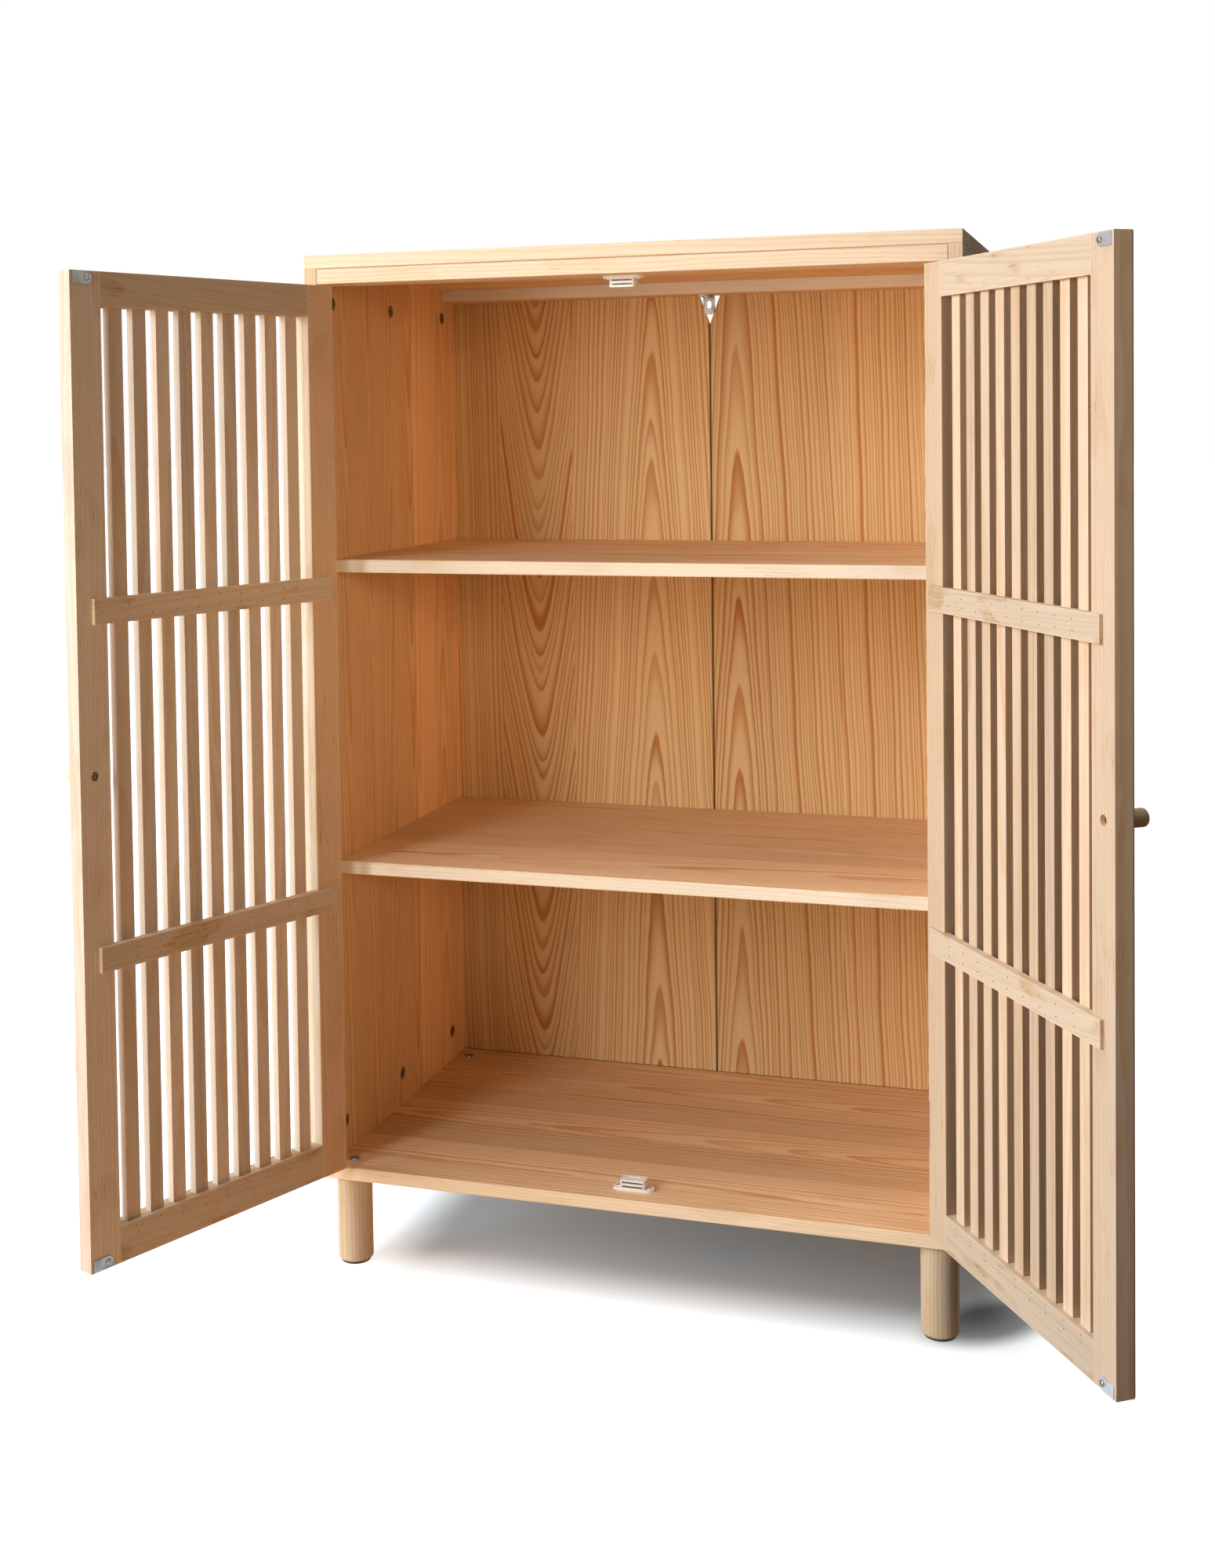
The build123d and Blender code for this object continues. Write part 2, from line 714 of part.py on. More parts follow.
# Wall bracket: a bent strip under the rear rail, its slotted end hanging in the notch of the back
with BuildPart() as wall_bracket:
    with BuildSketch(Plane.YZ) as bend:
        with BuildLine():
            Polyline((bracket_back, rear_rail_under), (bracket_back - bracket_reach, rear_rail_under),
                     (bracket_back - bracket_reach, bracket_under), (bracket_inner, bracket_under),
                     (bracket_inner, bracket_foot), (bracket_back, bracket_foot), close=True)
        make_face()
        fillet(bend.vertices().sort_by_distance((bracket_back, rear_rail_under))[0],
               bracket_bend + bracket_thick)
        fillet(bend.vertices().sort_by_distance((bracket_inner, bracket_under))[0], bracket_bend)
    extrude(amount=bracket_width / 2, both=True)
    fillet(wall_bracket.edges().filter_by(Axis.Y).group_by(Axis.Z)[0], bracket_corner)
    with BuildSketch(Plane.XZ.offset(-bracket_back)):
        with Locations((0, rear_rail_under - bracket_slot_drop)):
            SlotOverall(bracket_slot_length, bracket_slot_width, rotation=90)
    extrude(amount=bracket_thick, mode=Mode.SUBTRACT)
    turned(rod(bracket_screw_diameter, bracket_thick, hole_gap), [bracket_screw_seat], Mode.SUBTRACT)
keep(wall_bracket, "wall_bracket")

with BuildPart() as wall_bracket_screw:
    turned(pan_head(bracket_screw_head_diameter, bracket_screw_head_high, bracket_screw_crown,
                    bracket_screw_diameter, bracket_screw_length), [bracket_screw_seat])
keep(wall_bracket_screw, "wall_bracket_screw")

# Magnetic catches: a flanged housing with two slots, a magnet between two steel pole plates
for name, catch in (("upper_catch_housing", upper_catch), ("lower_catch_housing", lower_catch)):
    with BuildPart() as housing:
        with BuildSketch(catch):
            with Locations((0, catch_flange_width / 2)):
                SlotOverall(catch_flange_length, catch_flange_width)
        extrude(amount=catch_flange_thick)
        with BuildSketch(catch):
            with Locations((0, catch_flange_width / 2)):
                RectangleRounded(catch_body_width, catch_flange_width, catch_body_corner)
        extrude(amount=catch_body_high)
        with BuildSketch(on(catch, Plane.XZ)):
            with Locations(*catch_plate_places):
                Rectangle(catch_plate_width + 2 * catch_slot_gap, catch_plate_thick + 2 * catch_slot_gap)
        extrude(amount=-catch_plate_deep, mode=Mode.SUBTRACT)
        with BuildSketch(on(catch, Plane.XZ.offset(-catch_wall))):
            with Locations((0, catch_plate_high)):
                Rectangle(catch_magnet_width + 2 * catch_slot_gap, catch_magnet_thick)
        extrude(amount=-(catch_magnet_deep + catch_slot_gap), mode=Mode.SUBTRACT)
        with BuildSketch(on(catch, Plane.XY.offset(catch_body_high))):
            with Locations((0, catch_flange_width / 2)):
                SlotOverall(catch_mark_length, catch_mark_width)
        extrude(amount=-catch_mark_deep, mode=Mode.SUBTRACT)
        turned(rod(catch_screw_diameter, catch_flange_thick, hole_gap),
               catch_screw_seats(catch, catch_flange_thick), Mode.SUBTRACT)
    keep(housing, name)

with BuildPart() as catch_magnets:
    for catch in (upper_catch, lower_catch):
        with BuildSketch(on(catch, Plane.XZ.offset(-catch_wall))):
            with Locations((0, catch_plate_high)):
                Rectangle(catch_magnet_width, catch_magnet_thick)
        extrude(amount=-catch_magnet_deep)
keep(catch_magnets, "catch_magnets")

with BuildPart() as catch_pole_plates:
    for catch in (upper_catch, lower_catch):
        with BuildSketch(on(catch, Plane.XZ.offset(catch_plate_proud))):
            with Locations(*catch_plate_places):
                Rectangle(catch_plate_width, catch_plate_thick)
        extrude(amount=-(catch_plate_deep + catch_plate_proud))
keep(catch_pole_plates, "catch_pole_plates")

with BuildPart() as catch_screws:
    for catch in (upper_catch, lower_catch):
        turned(pan_head(catch_screw_head_diameter, catch_screw_head_high, catch_screw_crown,
                        catch_screw_diameter, catch_screw_length),
               catch_screw_seats(catch, catch_flange_thick))
keep(catch_screws, "catch_screws")


def hinge_leaf(level, way, near, knuckles):
    """One leaf in the open part: a plate between two distances from the pin, and its own knuckles.

    level gives the plane across the hinge at a height, way the side of the pin that the leaf is on,
    near the nearer face of the leaf, and knuckles which of the hinge's knuckles it carries.
    """
    radius = hinge_knuckle_diameter / 2
    leaf_x = way * (near + hinge_leaf_thick / 2)
    leaf_start = radius + hinge_relief
    knuckle_pitch = hinge_length / hinge_knuckle_count
    for foot in hinge_places:
        with BuildSketch(level(foot)) as plate:
            with Locations((leaf_x, leaf_start + hinge_leaf_width / 2)):
                Rectangle(hinge_leaf_thick, hinge_leaf_width)
        extrude(plate.sketch, amount=hinge_length)
        for index in knuckles:
            with BuildSketch(level(foot + index * knuckle_pitch + hinge_knuckle_gap / 2)) as knuckle:
                Circle(radius)
                with Locations((leaf_x, leaf_start / 2)):
                    Rectangle(hinge_leaf_thick, leaf_start)
                Circle(hinge_pin_diameter / 2 + fit_gap, mode=Mode.SUBTRACT)
            extrude(knuckle.sketch, amount=knuckle_pitch - hinge_knuckle_gap)


# Butt hinges: the carcass leaves lie on the sides, the door leaves in the stiles' edges
with BuildPart() as carcass_hinge_leaves:
    for way in ways.values():
        pins = Plane(origin=(way * hinge_axis_x, hinge_axis_y, 0))
        hinge_leaf(pins.offset, way, door_side_gap - hinge_leaf_thick, range(0, hinge_knuckle_count, 2))
        turned(hinge_screw_hole, carcass_leaf_seats(way), Mode.SUBTRACT)
keep(carcass_hinge_leaves, "carcass_hinge_leaves")

with BuildPart() as carcass_hinge_screws:
    for way in ways.values():
        turned(countersunk(hinge_screw_head_diameter, hinge_screw_diameter, hinge_screw_length),
               carcass_leaf_seats(way))
keep(carcass_hinge_screws, "carcass_hinge_screws")

with BuildPart() as hinge_pins:
    for way in ways.values():
        turned(hinge_pin_outline, [upwards(way * hinge_axis_x, hinge_axis_y, foot)
                                   for foot in hinge_places])
keep(hinge_pins, "hinge_pins")

for door in doors:
    way = door.way
    door_mid = door_outer + door_thick / 2

    # Hinge stile: its outer edges rounded, mortised for the rails and let in for the hinge leaves
    with BuildPart() as hinge_stile:
        with BuildSketch(door.level(door_foot)):
            with Locations((way * stile_width / 2, door_mid)):
                Rectangle(stile_width, door_thick)
        extrude(amount=door_high)
        fillet(outer_edges(hinge_stile, door, stile_width / 2, 0), outer_round)
        with BuildSketch(door.edge(window_start)):
            for mid, high in rail_tenons:
                with Locations((door_mid, mid)):
                    Rectangle(tenon_thick + 2 * tenon_gap, high + 2 * tenon_gap)
        extrude(amount=-way * (tenon_long + tenon_gap), mode=Mode.SUBTRACT)
        with BuildSketch(door.edge(0)):
            for foot in hinge_places:
                with Locations((door_mid, foot + hinge_length / 2)):
                    Rectangle(door_thick + 2 * overrun, hinge_length + 2 * hinge_mortise_gap)
        extrude(amount=way * hinge_leaf_thick, mode=Mode.SUBTRACT)
        turned(hinge_screw_hole, door_leaf_seats(door), Mode.SUBTRACT)
    keep(hinge_stile, f"{door.name}_hinge_stile")

    # Free stile: rounded too, mortised for the rails, bored for the knob's and the strikes' screws
    with BuildPart() as free_stile:
        with BuildSketch(door.level(door_foot)):
            with Locations((way * free_stile_mid, door_mid)):
                Rectangle(stile_width, door_thick)
        extrude(amount=door_high)
        fillet(outer_edges(free_stile, door, free_stile_mid, door_width), outer_round)
        with BuildSketch(door.edge(window_end)):
            for mid, high in rail_tenons:
                with Locations((door_mid, mid)):
                    Rectangle(tenon_thick + 2 * tenon_gap, high + 2 * tenon_gap)
        extrude(amount=way * (tenon_long + tenon_gap), mode=Mode.SUBTRACT)
        turned(rod(knob_bore_diameter, knob_bore_deep), [knob_bore_seat(door)], Mode.SUBTRACT)
        turned(rod(knob_screw_diameter, door_thick, hole_gap), [knob_bore_seat(door)], Mode.SUBTRACT)
        turned(rod(strike_screw_diameter, strike_screw_length, fit_gap), strike_screw_seats(door),
               Mode.SUBTRACT)
    keep(free_stile, f"{door.name}_free_stile")

    # Rails: tenoned into the stiles, with a row of pockets for the ends of the slats
    for name, mid, high, outer_edge, slat_level, into in (
        ("top_rail", door_head - top_rail_width / 2, top_rail_width, door_head, window_head, 1),
        ("bottom_rail", door_foot + bottom_rail_width / 2, bottom_rail_width, door_foot,
         window_foot, -1),
    ):
        with BuildPart() as rail:
            with BuildSketch(door.edge(window_start)) as outline:
                with Locations((door_mid, mid)):
                    Rectangle(door_thick, high)
                fillet(outline.vertices().sort_by_distance((door_outer, outer_edge))[0], outer_round)
            extrude(amount=way * window_width)
            for across, out in ((window_start, -way), (window_end, way)):
                with BuildSketch(door.edge(across)):
                    with Locations((door_mid, mid)):
                        Rectangle(tenon_thick, high - 2 * tenon_shoulder)
                extrude(amount=out * tenon_long)
            with BuildSketch(door.level(slat_level)):
                with Locations((way * window_mid, slat_mid)):
                    with GridLocations(slat_pitch, slat_pitch, slat_count, 1):
                        Rectangle(slat_width + 2 * slat_pocket_gap, slat_thick + 2 * slat_pocket_gap)
            extrude(amount=into * slat_pocket_deep, mode=Mode.SUBTRACT)
        keep(rail, f"{door.name}_{name}")

    # Slats: upright strips that stand in the bottom rail's pockets and end in the top rail's
    with BuildPart() as slats:
        with BuildSketch(door.level(window_foot - slat_pocket_deep)):
            with Locations((way * window_mid, slat_mid)):
                with GridLocations(slat_pitch, slat_pitch, slat_count, 1):
                    Rectangle(slat_width, slat_thick)
        extrude(amount=window_head - window_foot + 2 * slat_pocket_deep - slat_end_gap)
    keep(slats, f"{door.name}_slats")

    # Battens: strips across the slats at the shelves, rebated at their ends over the stiles
    for name, batten_head in (("upper_batten", upper_shelf_top - shelf_thick),
                              ("lower_batten", lower_shelf_top - shelf_thick)):
        batten_start = way * (window_start - batten_hinge_lap)
        batten_end = way * (window_end + batten_free_lap)
        batten_back = door_inner + batten_thick
        shoulder_start = way * (window_start + batten_shoulder_gap)
        shoulder_end = way * (window_end - batten_shoulder_gap)
        with BuildPart() as batten:
            with BuildSketch(door.level(batten_head - batten_high)) as outline:
                with BuildLine():
                    Polyline((batten_start, batten_back), (batten_start, door_inner),
                             (shoulder_start, door_inner), (shoulder_start, slat_inner),
                             (shoulder_end, slat_inner), (shoulder_end, door_inner),
                             (batten_end, door_inner), (batten_end, batten_back), close=True)
                make_face()
                fillet(outline.vertices().group_by(Axis.Y)[-1], batten_arris)
            extrude(amount=batten_high)
        keep(batten, f"{door.name}_{name}")

    # Knob: a plain turned peg with a well rounded end
    with BuildPart() as knob:
        seat = door.seat(free_stile_mid, door_outer, knob_high, (0, -1, 0))
        with BuildSketch(Plane(origin=seat.origin, x_dir=seat.x_dir, z_dir=-seat.y_dir)) as half:
            with BuildLine():
                Polyline((0, 0), (knob_diameter / 2, 0), (knob_diameter / 2, knob_reach),
                         (0, knob_reach), close=True)
            make_face()
            fillet(half.vertices().sort_by_distance((knob_diameter / 2, knob_reach))[0], knob_round)
        revolve(axis=Axis(seat.origin, seat.z_dir))
        turned(rod(knob_screw_diameter, knob_screw_grip, fit_gap),
               [door.seat(free_stile_mid, door_outer, knob_high, (0, 1, 0))], Mode.SUBTRACT)
    keep(knob, f"{door.name}_knob")

    with BuildPart() as knob_screw:
        turned(pan_head(knob_screw_head_diameter, knob_screw_head_high, knob_screw_head_high / 2,
                        knob_screw_diameter, door_thick - knob_bore_deep + knob_screw_grip),
               [door.seat(free_stile_mid, door_inner - knob_bore_deep, knob_high, (0, 1, 0))])
    keep(knob_screw, f"{door.name}_knob_screw")

    # Strike plates: steel tongues at the ends of the free stile, round at their inner ends
    with BuildPart() as strike_plates:
        for strike_z in strike_levels:
            round_u = door_width - strike_edge_inset - strike_length + strike_width / 2
            square_u = door_width - strike_edge_inset
            with BuildSketch(door.face(door_inner)):
                with Locations((way * round_u, strike_z)):
                    Circle(strike_width / 2)
                with Locations((way * (round_u + square_u) / 2, strike_z)):
                    Rectangle(square_u - round_u, strike_width)
            extrude(amount=-strike_thick)
        turned(rod(strike_screw_diameter, strike_thick, hole_gap), strike_screw_seats(door),
               Mode.SUBTRACT)
    keep(strike_plates, f"{door.name}_strike_plates")

    with BuildPart() as strike_screws:
        turned(pan_head(strike_screw_head_diameter, strike_screw_head_high, strike_screw_crown,
                        strike_screw_diameter, strike_screw_length), strike_screw_seats(door))
    keep(strike_screws, f"{door.name}_strike_screws")

    with BuildPart() as hinge_leaves:
        hinge_leaf(door.level, way, 0, range(1, hinge_knuckle_count, 2))
        turned(hinge_screw_hole, door_leaf_seats(door), Mode.SUBTRACT)
    keep(hinge_leaves, f"{door.name}_hinge_leaves")

    with BuildPart() as hinge_screws:
        turned(countersunk(hinge_screw_head_diameter, hinge_screw_diameter, hinge_screw_length),
               door_leaf_seats(door))
    keep(hinge_screws, f"{door.name}_hinge_screws")
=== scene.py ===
"""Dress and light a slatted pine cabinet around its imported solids.

Metres, +Z up, the front towards -Y, the origin on the floor under the middle of the carcass. The doors
rest open. Each board gets its own piece of pine, and the small hardware is modelled over its solids.
"""
import json
import logging
import math
from dataclasses import dataclass, replace
from enum import Enum

import bmesh
import bpy
import numpy as np
from mathutils import Matrix, Vector


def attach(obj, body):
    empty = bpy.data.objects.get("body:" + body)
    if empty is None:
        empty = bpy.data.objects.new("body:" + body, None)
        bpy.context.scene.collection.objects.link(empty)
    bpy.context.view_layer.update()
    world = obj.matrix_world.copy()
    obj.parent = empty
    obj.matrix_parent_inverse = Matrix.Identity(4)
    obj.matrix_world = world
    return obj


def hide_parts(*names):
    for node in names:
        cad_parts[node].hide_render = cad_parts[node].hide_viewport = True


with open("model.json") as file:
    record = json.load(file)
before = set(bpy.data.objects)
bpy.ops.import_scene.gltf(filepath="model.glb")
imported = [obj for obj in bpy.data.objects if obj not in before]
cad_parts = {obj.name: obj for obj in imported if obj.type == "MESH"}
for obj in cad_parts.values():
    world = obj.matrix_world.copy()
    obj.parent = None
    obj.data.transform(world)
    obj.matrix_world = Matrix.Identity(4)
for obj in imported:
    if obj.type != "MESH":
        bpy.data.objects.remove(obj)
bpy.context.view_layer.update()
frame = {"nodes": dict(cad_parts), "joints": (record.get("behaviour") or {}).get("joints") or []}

log = logging.getLogger("cabinet")

MM = 0.001
CARCASS = "carcass"
Colour = tuple[float, float, float]


# Shader graphs

class Graph:
    """A shader tree or group while its nodes are being laid."""

    def __init__(self, tree: bpy.types.NodeTree) -> None:
        """Keep the tree that the nodes go into.

        Args:
            tree: The tree of a material, a world or a group.
        """
        self.tree = tree

    def feed(self, socket: bpy.types.NodeSocket, value: object) -> None:
        """Link a socket, or set its value.

        Args:
            socket: The input to feed.
            value: Another node's output, or a plain number, colour or vector.
        """
        if isinstance(value, bpy.types.NodeSocket):
            self.tree.links.new(value, socket)
        else:
            socket.default_value = value

    def add(self, kind: str, inputs: dict | None = None, **settings: object) -> bpy.types.Node:
        """Add a node.

        Args:
            kind: The node's Blender type.
            inputs: What feeds its inputs, by name or by number.
            settings: The node's own properties.

        Returns:
            The new node.
        """
        node = self.tree.nodes.new(kind)
        for name, value in settings.items():
            setattr(node, name, value)
        for key, value in (inputs or {}).items():
            self.feed(node.inputs[key], value)
        return node

    def math(self, operation: str, *values: object) -> bpy.types.NodeSocket:
        """Return the result of a Math node on one to three values."""
        return self.add("ShaderNodeMath", dict(enumerate(values)), operation=operation).outputs[0]

    def vector(self, operation: str, *values: object) -> bpy.types.NodeSocket:
        """Return the vector result of a Vector Math node."""
        node = self.add("ShaderNodeVectorMath", dict(enumerate(values)), operation=operation)
        return node.outputs["Vector"]

    def split(self, vector: object) -> tuple[bpy.types.NodeSocket, ...]:
        """Return the three components of a vector."""
        return tuple(self.add("ShaderNodeSeparateXYZ", {0: vector}).outputs)

    def join(self, x: object, y: object, z: object) -> bpy.types.NodeSocket:
        """Return a vector made of three components."""
        return self.add("ShaderNodeCombineXYZ", {0: x, 1: y, 2: z}).outputs[0]

    def step(self, value: object, low: object, high: object) -> bpy.types.NodeSocket:
        """Return a smooth rise from 0 at low to 1 at high."""
        node = self.add("ShaderNodeMapRange", {"Value": value, "From Min": low, "From Max": high},
                        interpolation_type="SMOOTHSTEP")
        return node.outputs[0]

    def either(self, first: object, second: object) -> bpy.types.NodeSocket:
        """Return 1 where either of two masks is 1."""
        return self.math("MULTIPLY_ADD", self.math("SUBTRACT", 1.0, first), second, first)

    def noise(self, vector: object, detail: float = 2.0, roughness: float = 0.5) -> bpy.types.Node:
        """Return a noise texture of unit scale on a vector that already holds the scale."""
        return self.add("ShaderNodeTexNoise", {"Vector": vector, "Scale": 1.0, "Detail": detail,
                                               "Roughness": roughness})

    def white(self, value: object) -> bpy.types.Node:
        """Return a random value and colour for each number."""
        return self.add("ShaderNodeTexWhiteNoise", {"W": value}, noise_dimensions="1D")

    def mix(self, factor: object, first: object, second: object,
            blend: str = "MIX") -> bpy.types.NodeSocket:
        """Mix two colours.

        Args:
            factor: How much of the second colour, 0 to 1.
            first: The colour at 0.
            second: The colour at 1.
            blend: The way the second colour is laid on the first.

        Returns:
            The mixed colour.
        """
        node = self.add("ShaderNodeMix", data_type="RGBA", blend_type=blend)
        for name, value in (("Factor_Float", factor), ("A_Color", first), ("B_Color", second)):
            socket = next(s for s in node.inputs if s.identifier == name)
            self.feed(socket, rgba(value))
        return next(s for s in node.outputs if s.identifier == "Result_Color")

    def ramp(self, value: object, stops: list[tuple[float, Colour]],
             interpolation: str = "LINEAR") -> bpy.types.NodeSocket:
        """Look a value up in a ramp of colours.

        Args:
            value: The place along the ramp, 0 to 1.
            stops: The places and colours of the stops.
            interpolation: How colours run between the stops.

        Returns:
            The colour found.
        """
        node = self.add("ShaderNodeValToRGB", {0: value})
        node.color_ramp.interpolation = interpolation
        elements = node.color_ramp.elements
        while len(elements) < len(stops):
            elements.new(1.0)
        for element, (place, colour) in zip(elements, stops):
            element.position = place
            element.color = rgba(colour)
        return node.outputs[0]


def rgba(value: object) -> object:
    """Return a three-part colour with its alpha, and anything else as it is."""
    if isinstance(value, tuple) and len(value) == 3:
        return (*value, 1.0)
    return value


@dataclass(frozen=True)
class GroupInput:
    """An input of a shader group: its name, kind and value before a material sets it."""

    name: str
    kind: str = "Float"
    value: object = 0.0


def shader_group(name: str, inputs: list[GroupInput], outputs: list[tuple[str, str]]) -> tuple:
    """Start a shader group.

    Args:
        name: The group's name.
        inputs: Its inputs.
        outputs: The names and kinds of its outputs.

    Returns:
        The graph, the sockets of its inputs by name, and the node that takes its outputs.
    """
    tree = bpy.data.node_groups.new(name, "ShaderNodeTree")
    for item in inputs:
        socket = tree.interface.new_socket(item.name, in_out="INPUT",
                                           socket_type=f"NodeSocket{item.kind}")
        if item.kind != "Vector":
            socket.default_value = rgba(item.value)
    for label, kind in outputs:
        tree.interface.new_socket(label, in_out="OUTPUT", socket_type=f"NodeSocket{kind}")
    graph = Graph(tree)
    sockets = {s.name: s for s in graph.add("NodeGroupInput").outputs}
    return graph, sockets, graph.add("NodeGroupOutput")


# How boards lie

class Lie(Enum):
    """How a piece is cut: the axes of its width, thickness and grain in its body's own frame."""

    UPRIGHT = ((1, 0, 0), (0, 1, 0), (0, 0, 1))
    SIDEWAYS = ((0, 1, 0), (-1, 0, 0), (0, 0, 1))
    LEVEL = ((0, 1, 0), (0, 0, 1), (1, 0, 0))
    RAIL = ((0, 0, -1), (0, 1, 0), (1, 0, 0))
    PEG = ((1, 0, 0), (0, 0, -1), (0, 1, 0))

    def turn(self, body_turn: float) -> Matrix:
        """Return the rotation from the piece's own axes to the shared frame.

        Args:
            body_turn: The angle that the piece's body stands turned about the vertical, in radians.

        Returns:
            A matrix of three columns: the width, thickness and grain axes.
        """
        return Matrix.Rotation(body_turn, 3, "Z") @ Matrix(self.value).transposed()


@dataclass(frozen=True)
class Stave:
    """One strip of a veneered board: where it ends and how its figure runs, in metres."""

    end: float
    centre: float
    rise: float


@dataclass(frozen=True)
class Pine:
    """A piece of pine: its colours on the wide faces and on the narrow edges, and its growth rings."""

    early: Colour
    late: Colour
    edge_early: Colour
    edge_late: Colour
    ring_pitch: float = 5.0 * MM
    pith_depth: float = 30.0 * MM
    rise: float = 0.03
    wander: float = 8.0 * MM
    stave_width: float = 70.0 * MM
    stave_tone: float = 0.1
    stave_shift: float | None = None
    flecks: float = 0.3
    figure: float = 0.0
    # The arris band: pale by default, a painted highlight; dark on the front top rail and the back panel, a
    # painted shadow line.
    worn: Colour = (0.86, 0.70, 0.50)
    wear: float = 0.3
    roughness: float = 0.6
    bump: float = 0.12


@dataclass(frozen=True)
class DoorPines:
    """The pine of one door's stiles, rails and slats."""

    hinge_stile: Pine
    free_stile: Pine
    rail: Pine
    slat: Pine


# Finishes of the pine, in linear colour
# Faces that look inside are a deeper orange than the edges and outer faces: partly the pine's own colour,
# partly painted shade.
INSIDE = Pine(early=(0.94, 0.73, 0.50), late=(0.75, 0.42, 0.20), edge_early=(0.86, 0.71, 0.54),
              edge_late=(0.79, 0.60, 0.42), ring_pitch=3.6 * MM, pith_depth=14.0 * MM, rise=0.02,
              stave_width=62.0 * MM, stave_tone=0.10, figure=0.3)
# The front top rail's arrises are darkened as a painted shadow line, like the one under the top panel's edge.
RAIL_FRONT = replace(INSIDE, worn=(0.30, 0.17, 0.09), wear=0.6)
# The shelves' front edges are paler than the carcass edges: painted light on the lit fronts.
SHELF = replace(INSIDE, edge_early=(0.95, 0.86, 0.72), edge_late=(0.88, 0.75, 0.58))
FLOOR_PANEL = replace(INSIDE, early=(0.89, 0.66, 0.42), late=(0.71, 0.38, 0.17),
                      edge_early=(0.95, 0.79, 0.58), edge_late=(0.87, 0.67, 0.45))
# The rear top rail's edges are paler than the other boards': painted light on its shaded front face.
REAR_RAIL = replace(INSIDE, edge_early=(1.0, 0.97, 0.90), edge_late=(0.97, 0.88, 0.75))
SIDE = Pine(early=(0.95, 0.64, 0.36), late=(0.80, 0.42, 0.18), edge_early=(0.84, 0.67, 0.48),
            edge_late=(0.76, 0.55, 0.34), ring_pitch=4.0 * MM, rise=0.025, stave_width=66.0 * MM,
            stave_tone=0.16, flecks=0.5)
# The back panel's arrises are darkened as a painted shadow line, chiefly along the seam between its halves.
BACK = Pine(early=(0.89, 0.68, 0.37), late=(0.60, 0.25, 0.08), edge_early=(0.78, 0.53, 0.235),
            edge_late=(0.60, 0.29, 0.085), ring_pitch=5.0 * MM, pith_depth=22.0 * MM, wander=7.0 * MM,
            stave_tone=0.06, worn=(0.13, 0.07, 0.035), wear=0.85)
DOOR = Pine(early=(0.72, 0.565, 0.415), late=(0.66, 0.48, 0.32), edge_early=(0.76, 0.62, 0.47),
            edge_late=(0.70, 0.52, 0.35), ring_pitch=4.0 * MM, rise=0.02, stave_width=400.0 * MM,
            stave_tone=0.05, flecks=0.4, figure=0.4)
RAIL = Pine(early=(0.72, 0.57, 0.42), late=(0.66, 0.49, 0.33), edge_early=(0.73, 0.58, 0.43),
            edge_late=(0.66, 0.48, 0.32), ring_pitch=7.0 * MM, rise=0.06, stave_width=400.0 * MM,
            pith_depth=12.0 * MM, stave_tone=0.05, flecks=0.5, figure=1.0)
# The slats' pale edges are painted light, for the lit sides of the left door's slats; the right door's slats
# take darker edges.
SLAT = Pine(early=(0.73, 0.575, 0.43), late=(0.65, 0.465, 0.31), edge_early=(0.96, 0.91, 0.83),
            edge_late=(0.90, 0.80, 0.68), ring_pitch=4.5 * MM, rise=0.015, stave_width=28.95 * MM,
            stave_shift=0.5, stave_tone=0.14, flecks=0.3, figure=0.2)
# The two doors' pines are lit and shaded copies of one wood.
DOOR_PINES = {
    # Left door: the pale edges of the hinge stile are painted light.
    "left": DoorPines(
        replace(DOOR, early=(0.76, 0.52, 0.33), late=(0.70, 0.44, 0.25), edge_early=(0.92, 0.84, 0.72),
                edge_late=(0.86, 0.75, 0.60)),
        replace(DOOR, early=(0.75, 0.60, 0.46), late=(0.69, 0.51, 0.36), edge_early=(0.71, 0.57, 0.50),
                edge_late=(0.65, 0.50, 0.41)),
        replace(RAIL, early=(0.67, 0.51, 0.36), late=(0.62, 0.44, 0.285)),
        SLAT),
    # Right door: the dark edges of the hinge stile and of the slats are painted shade.
    "right": DoorPines(
        replace(DOOR, early=(0.65, 0.53, 0.39), late=(0.59, 0.45, 0.30), edge_early=(0.50, 0.35, 0.24),
                edge_late=(0.44, 0.30, 0.20)),
        replace(DOOR, early=(0.60, 0.495, 0.39), late=(0.55, 0.42, 0.30), edge_early=(0.88, 0.66, 0.46),
                edge_late=(0.80, 0.57, 0.37)),
        replace(RAIL, early=(0.62, 0.535, 0.425), late=(0.57, 0.46, 0.34)),
        replace(SLAT, early=(0.67, 0.54, 0.415), late=(0.60, 0.44, 0.30), edge_early=(0.60, 0.42, 0.27),
                edge_late=(0.53, 0.35, 0.20))),
}
TURNED = Pine(early=(0.67, 0.56, 0.41), late=(0.58, 0.43, 0.275), edge_early=(0.67, 0.56, 0.41),
              edge_late=(0.58, 0.43, 0.275), ring_pitch=4.0 * MM, rise=0.01, stave_width=400.0 * MM,
              stave_tone=0.04, flecks=0.3, figure=0.4)
# The knobs are paler than the turned legs: painted light, lifting them out of the shade beside the doors.
KNOB = replace(TURNED, early=(0.98, 0.82, 0.60), late=(0.88, 0.66, 0.43), edge_early=(0.98, 0.82, 0.60),
               edge_late=(0.88, 0.66, 0.43))

# Strips of the two halves of the back panel, across it from its left edge
BACK_STAVES = {
    "back_panel_left": (Stave(70 * MM, -60 * MM, 0.02), Stave(170 * MM, 122 * MM, -0.14),
                        Stave(400 * MM, 279 * MM, 0.05)),
    "back_panel_right": (Stave(166 * MM, 34 * MM, 0.045), Stave(270 * MM, 140 * MM, 0.03),
                         Stave(400 * MM, 375 * MM, 0.12)),
}
VENEER_REACH = 0.5
VENEER_RISE = 0.2

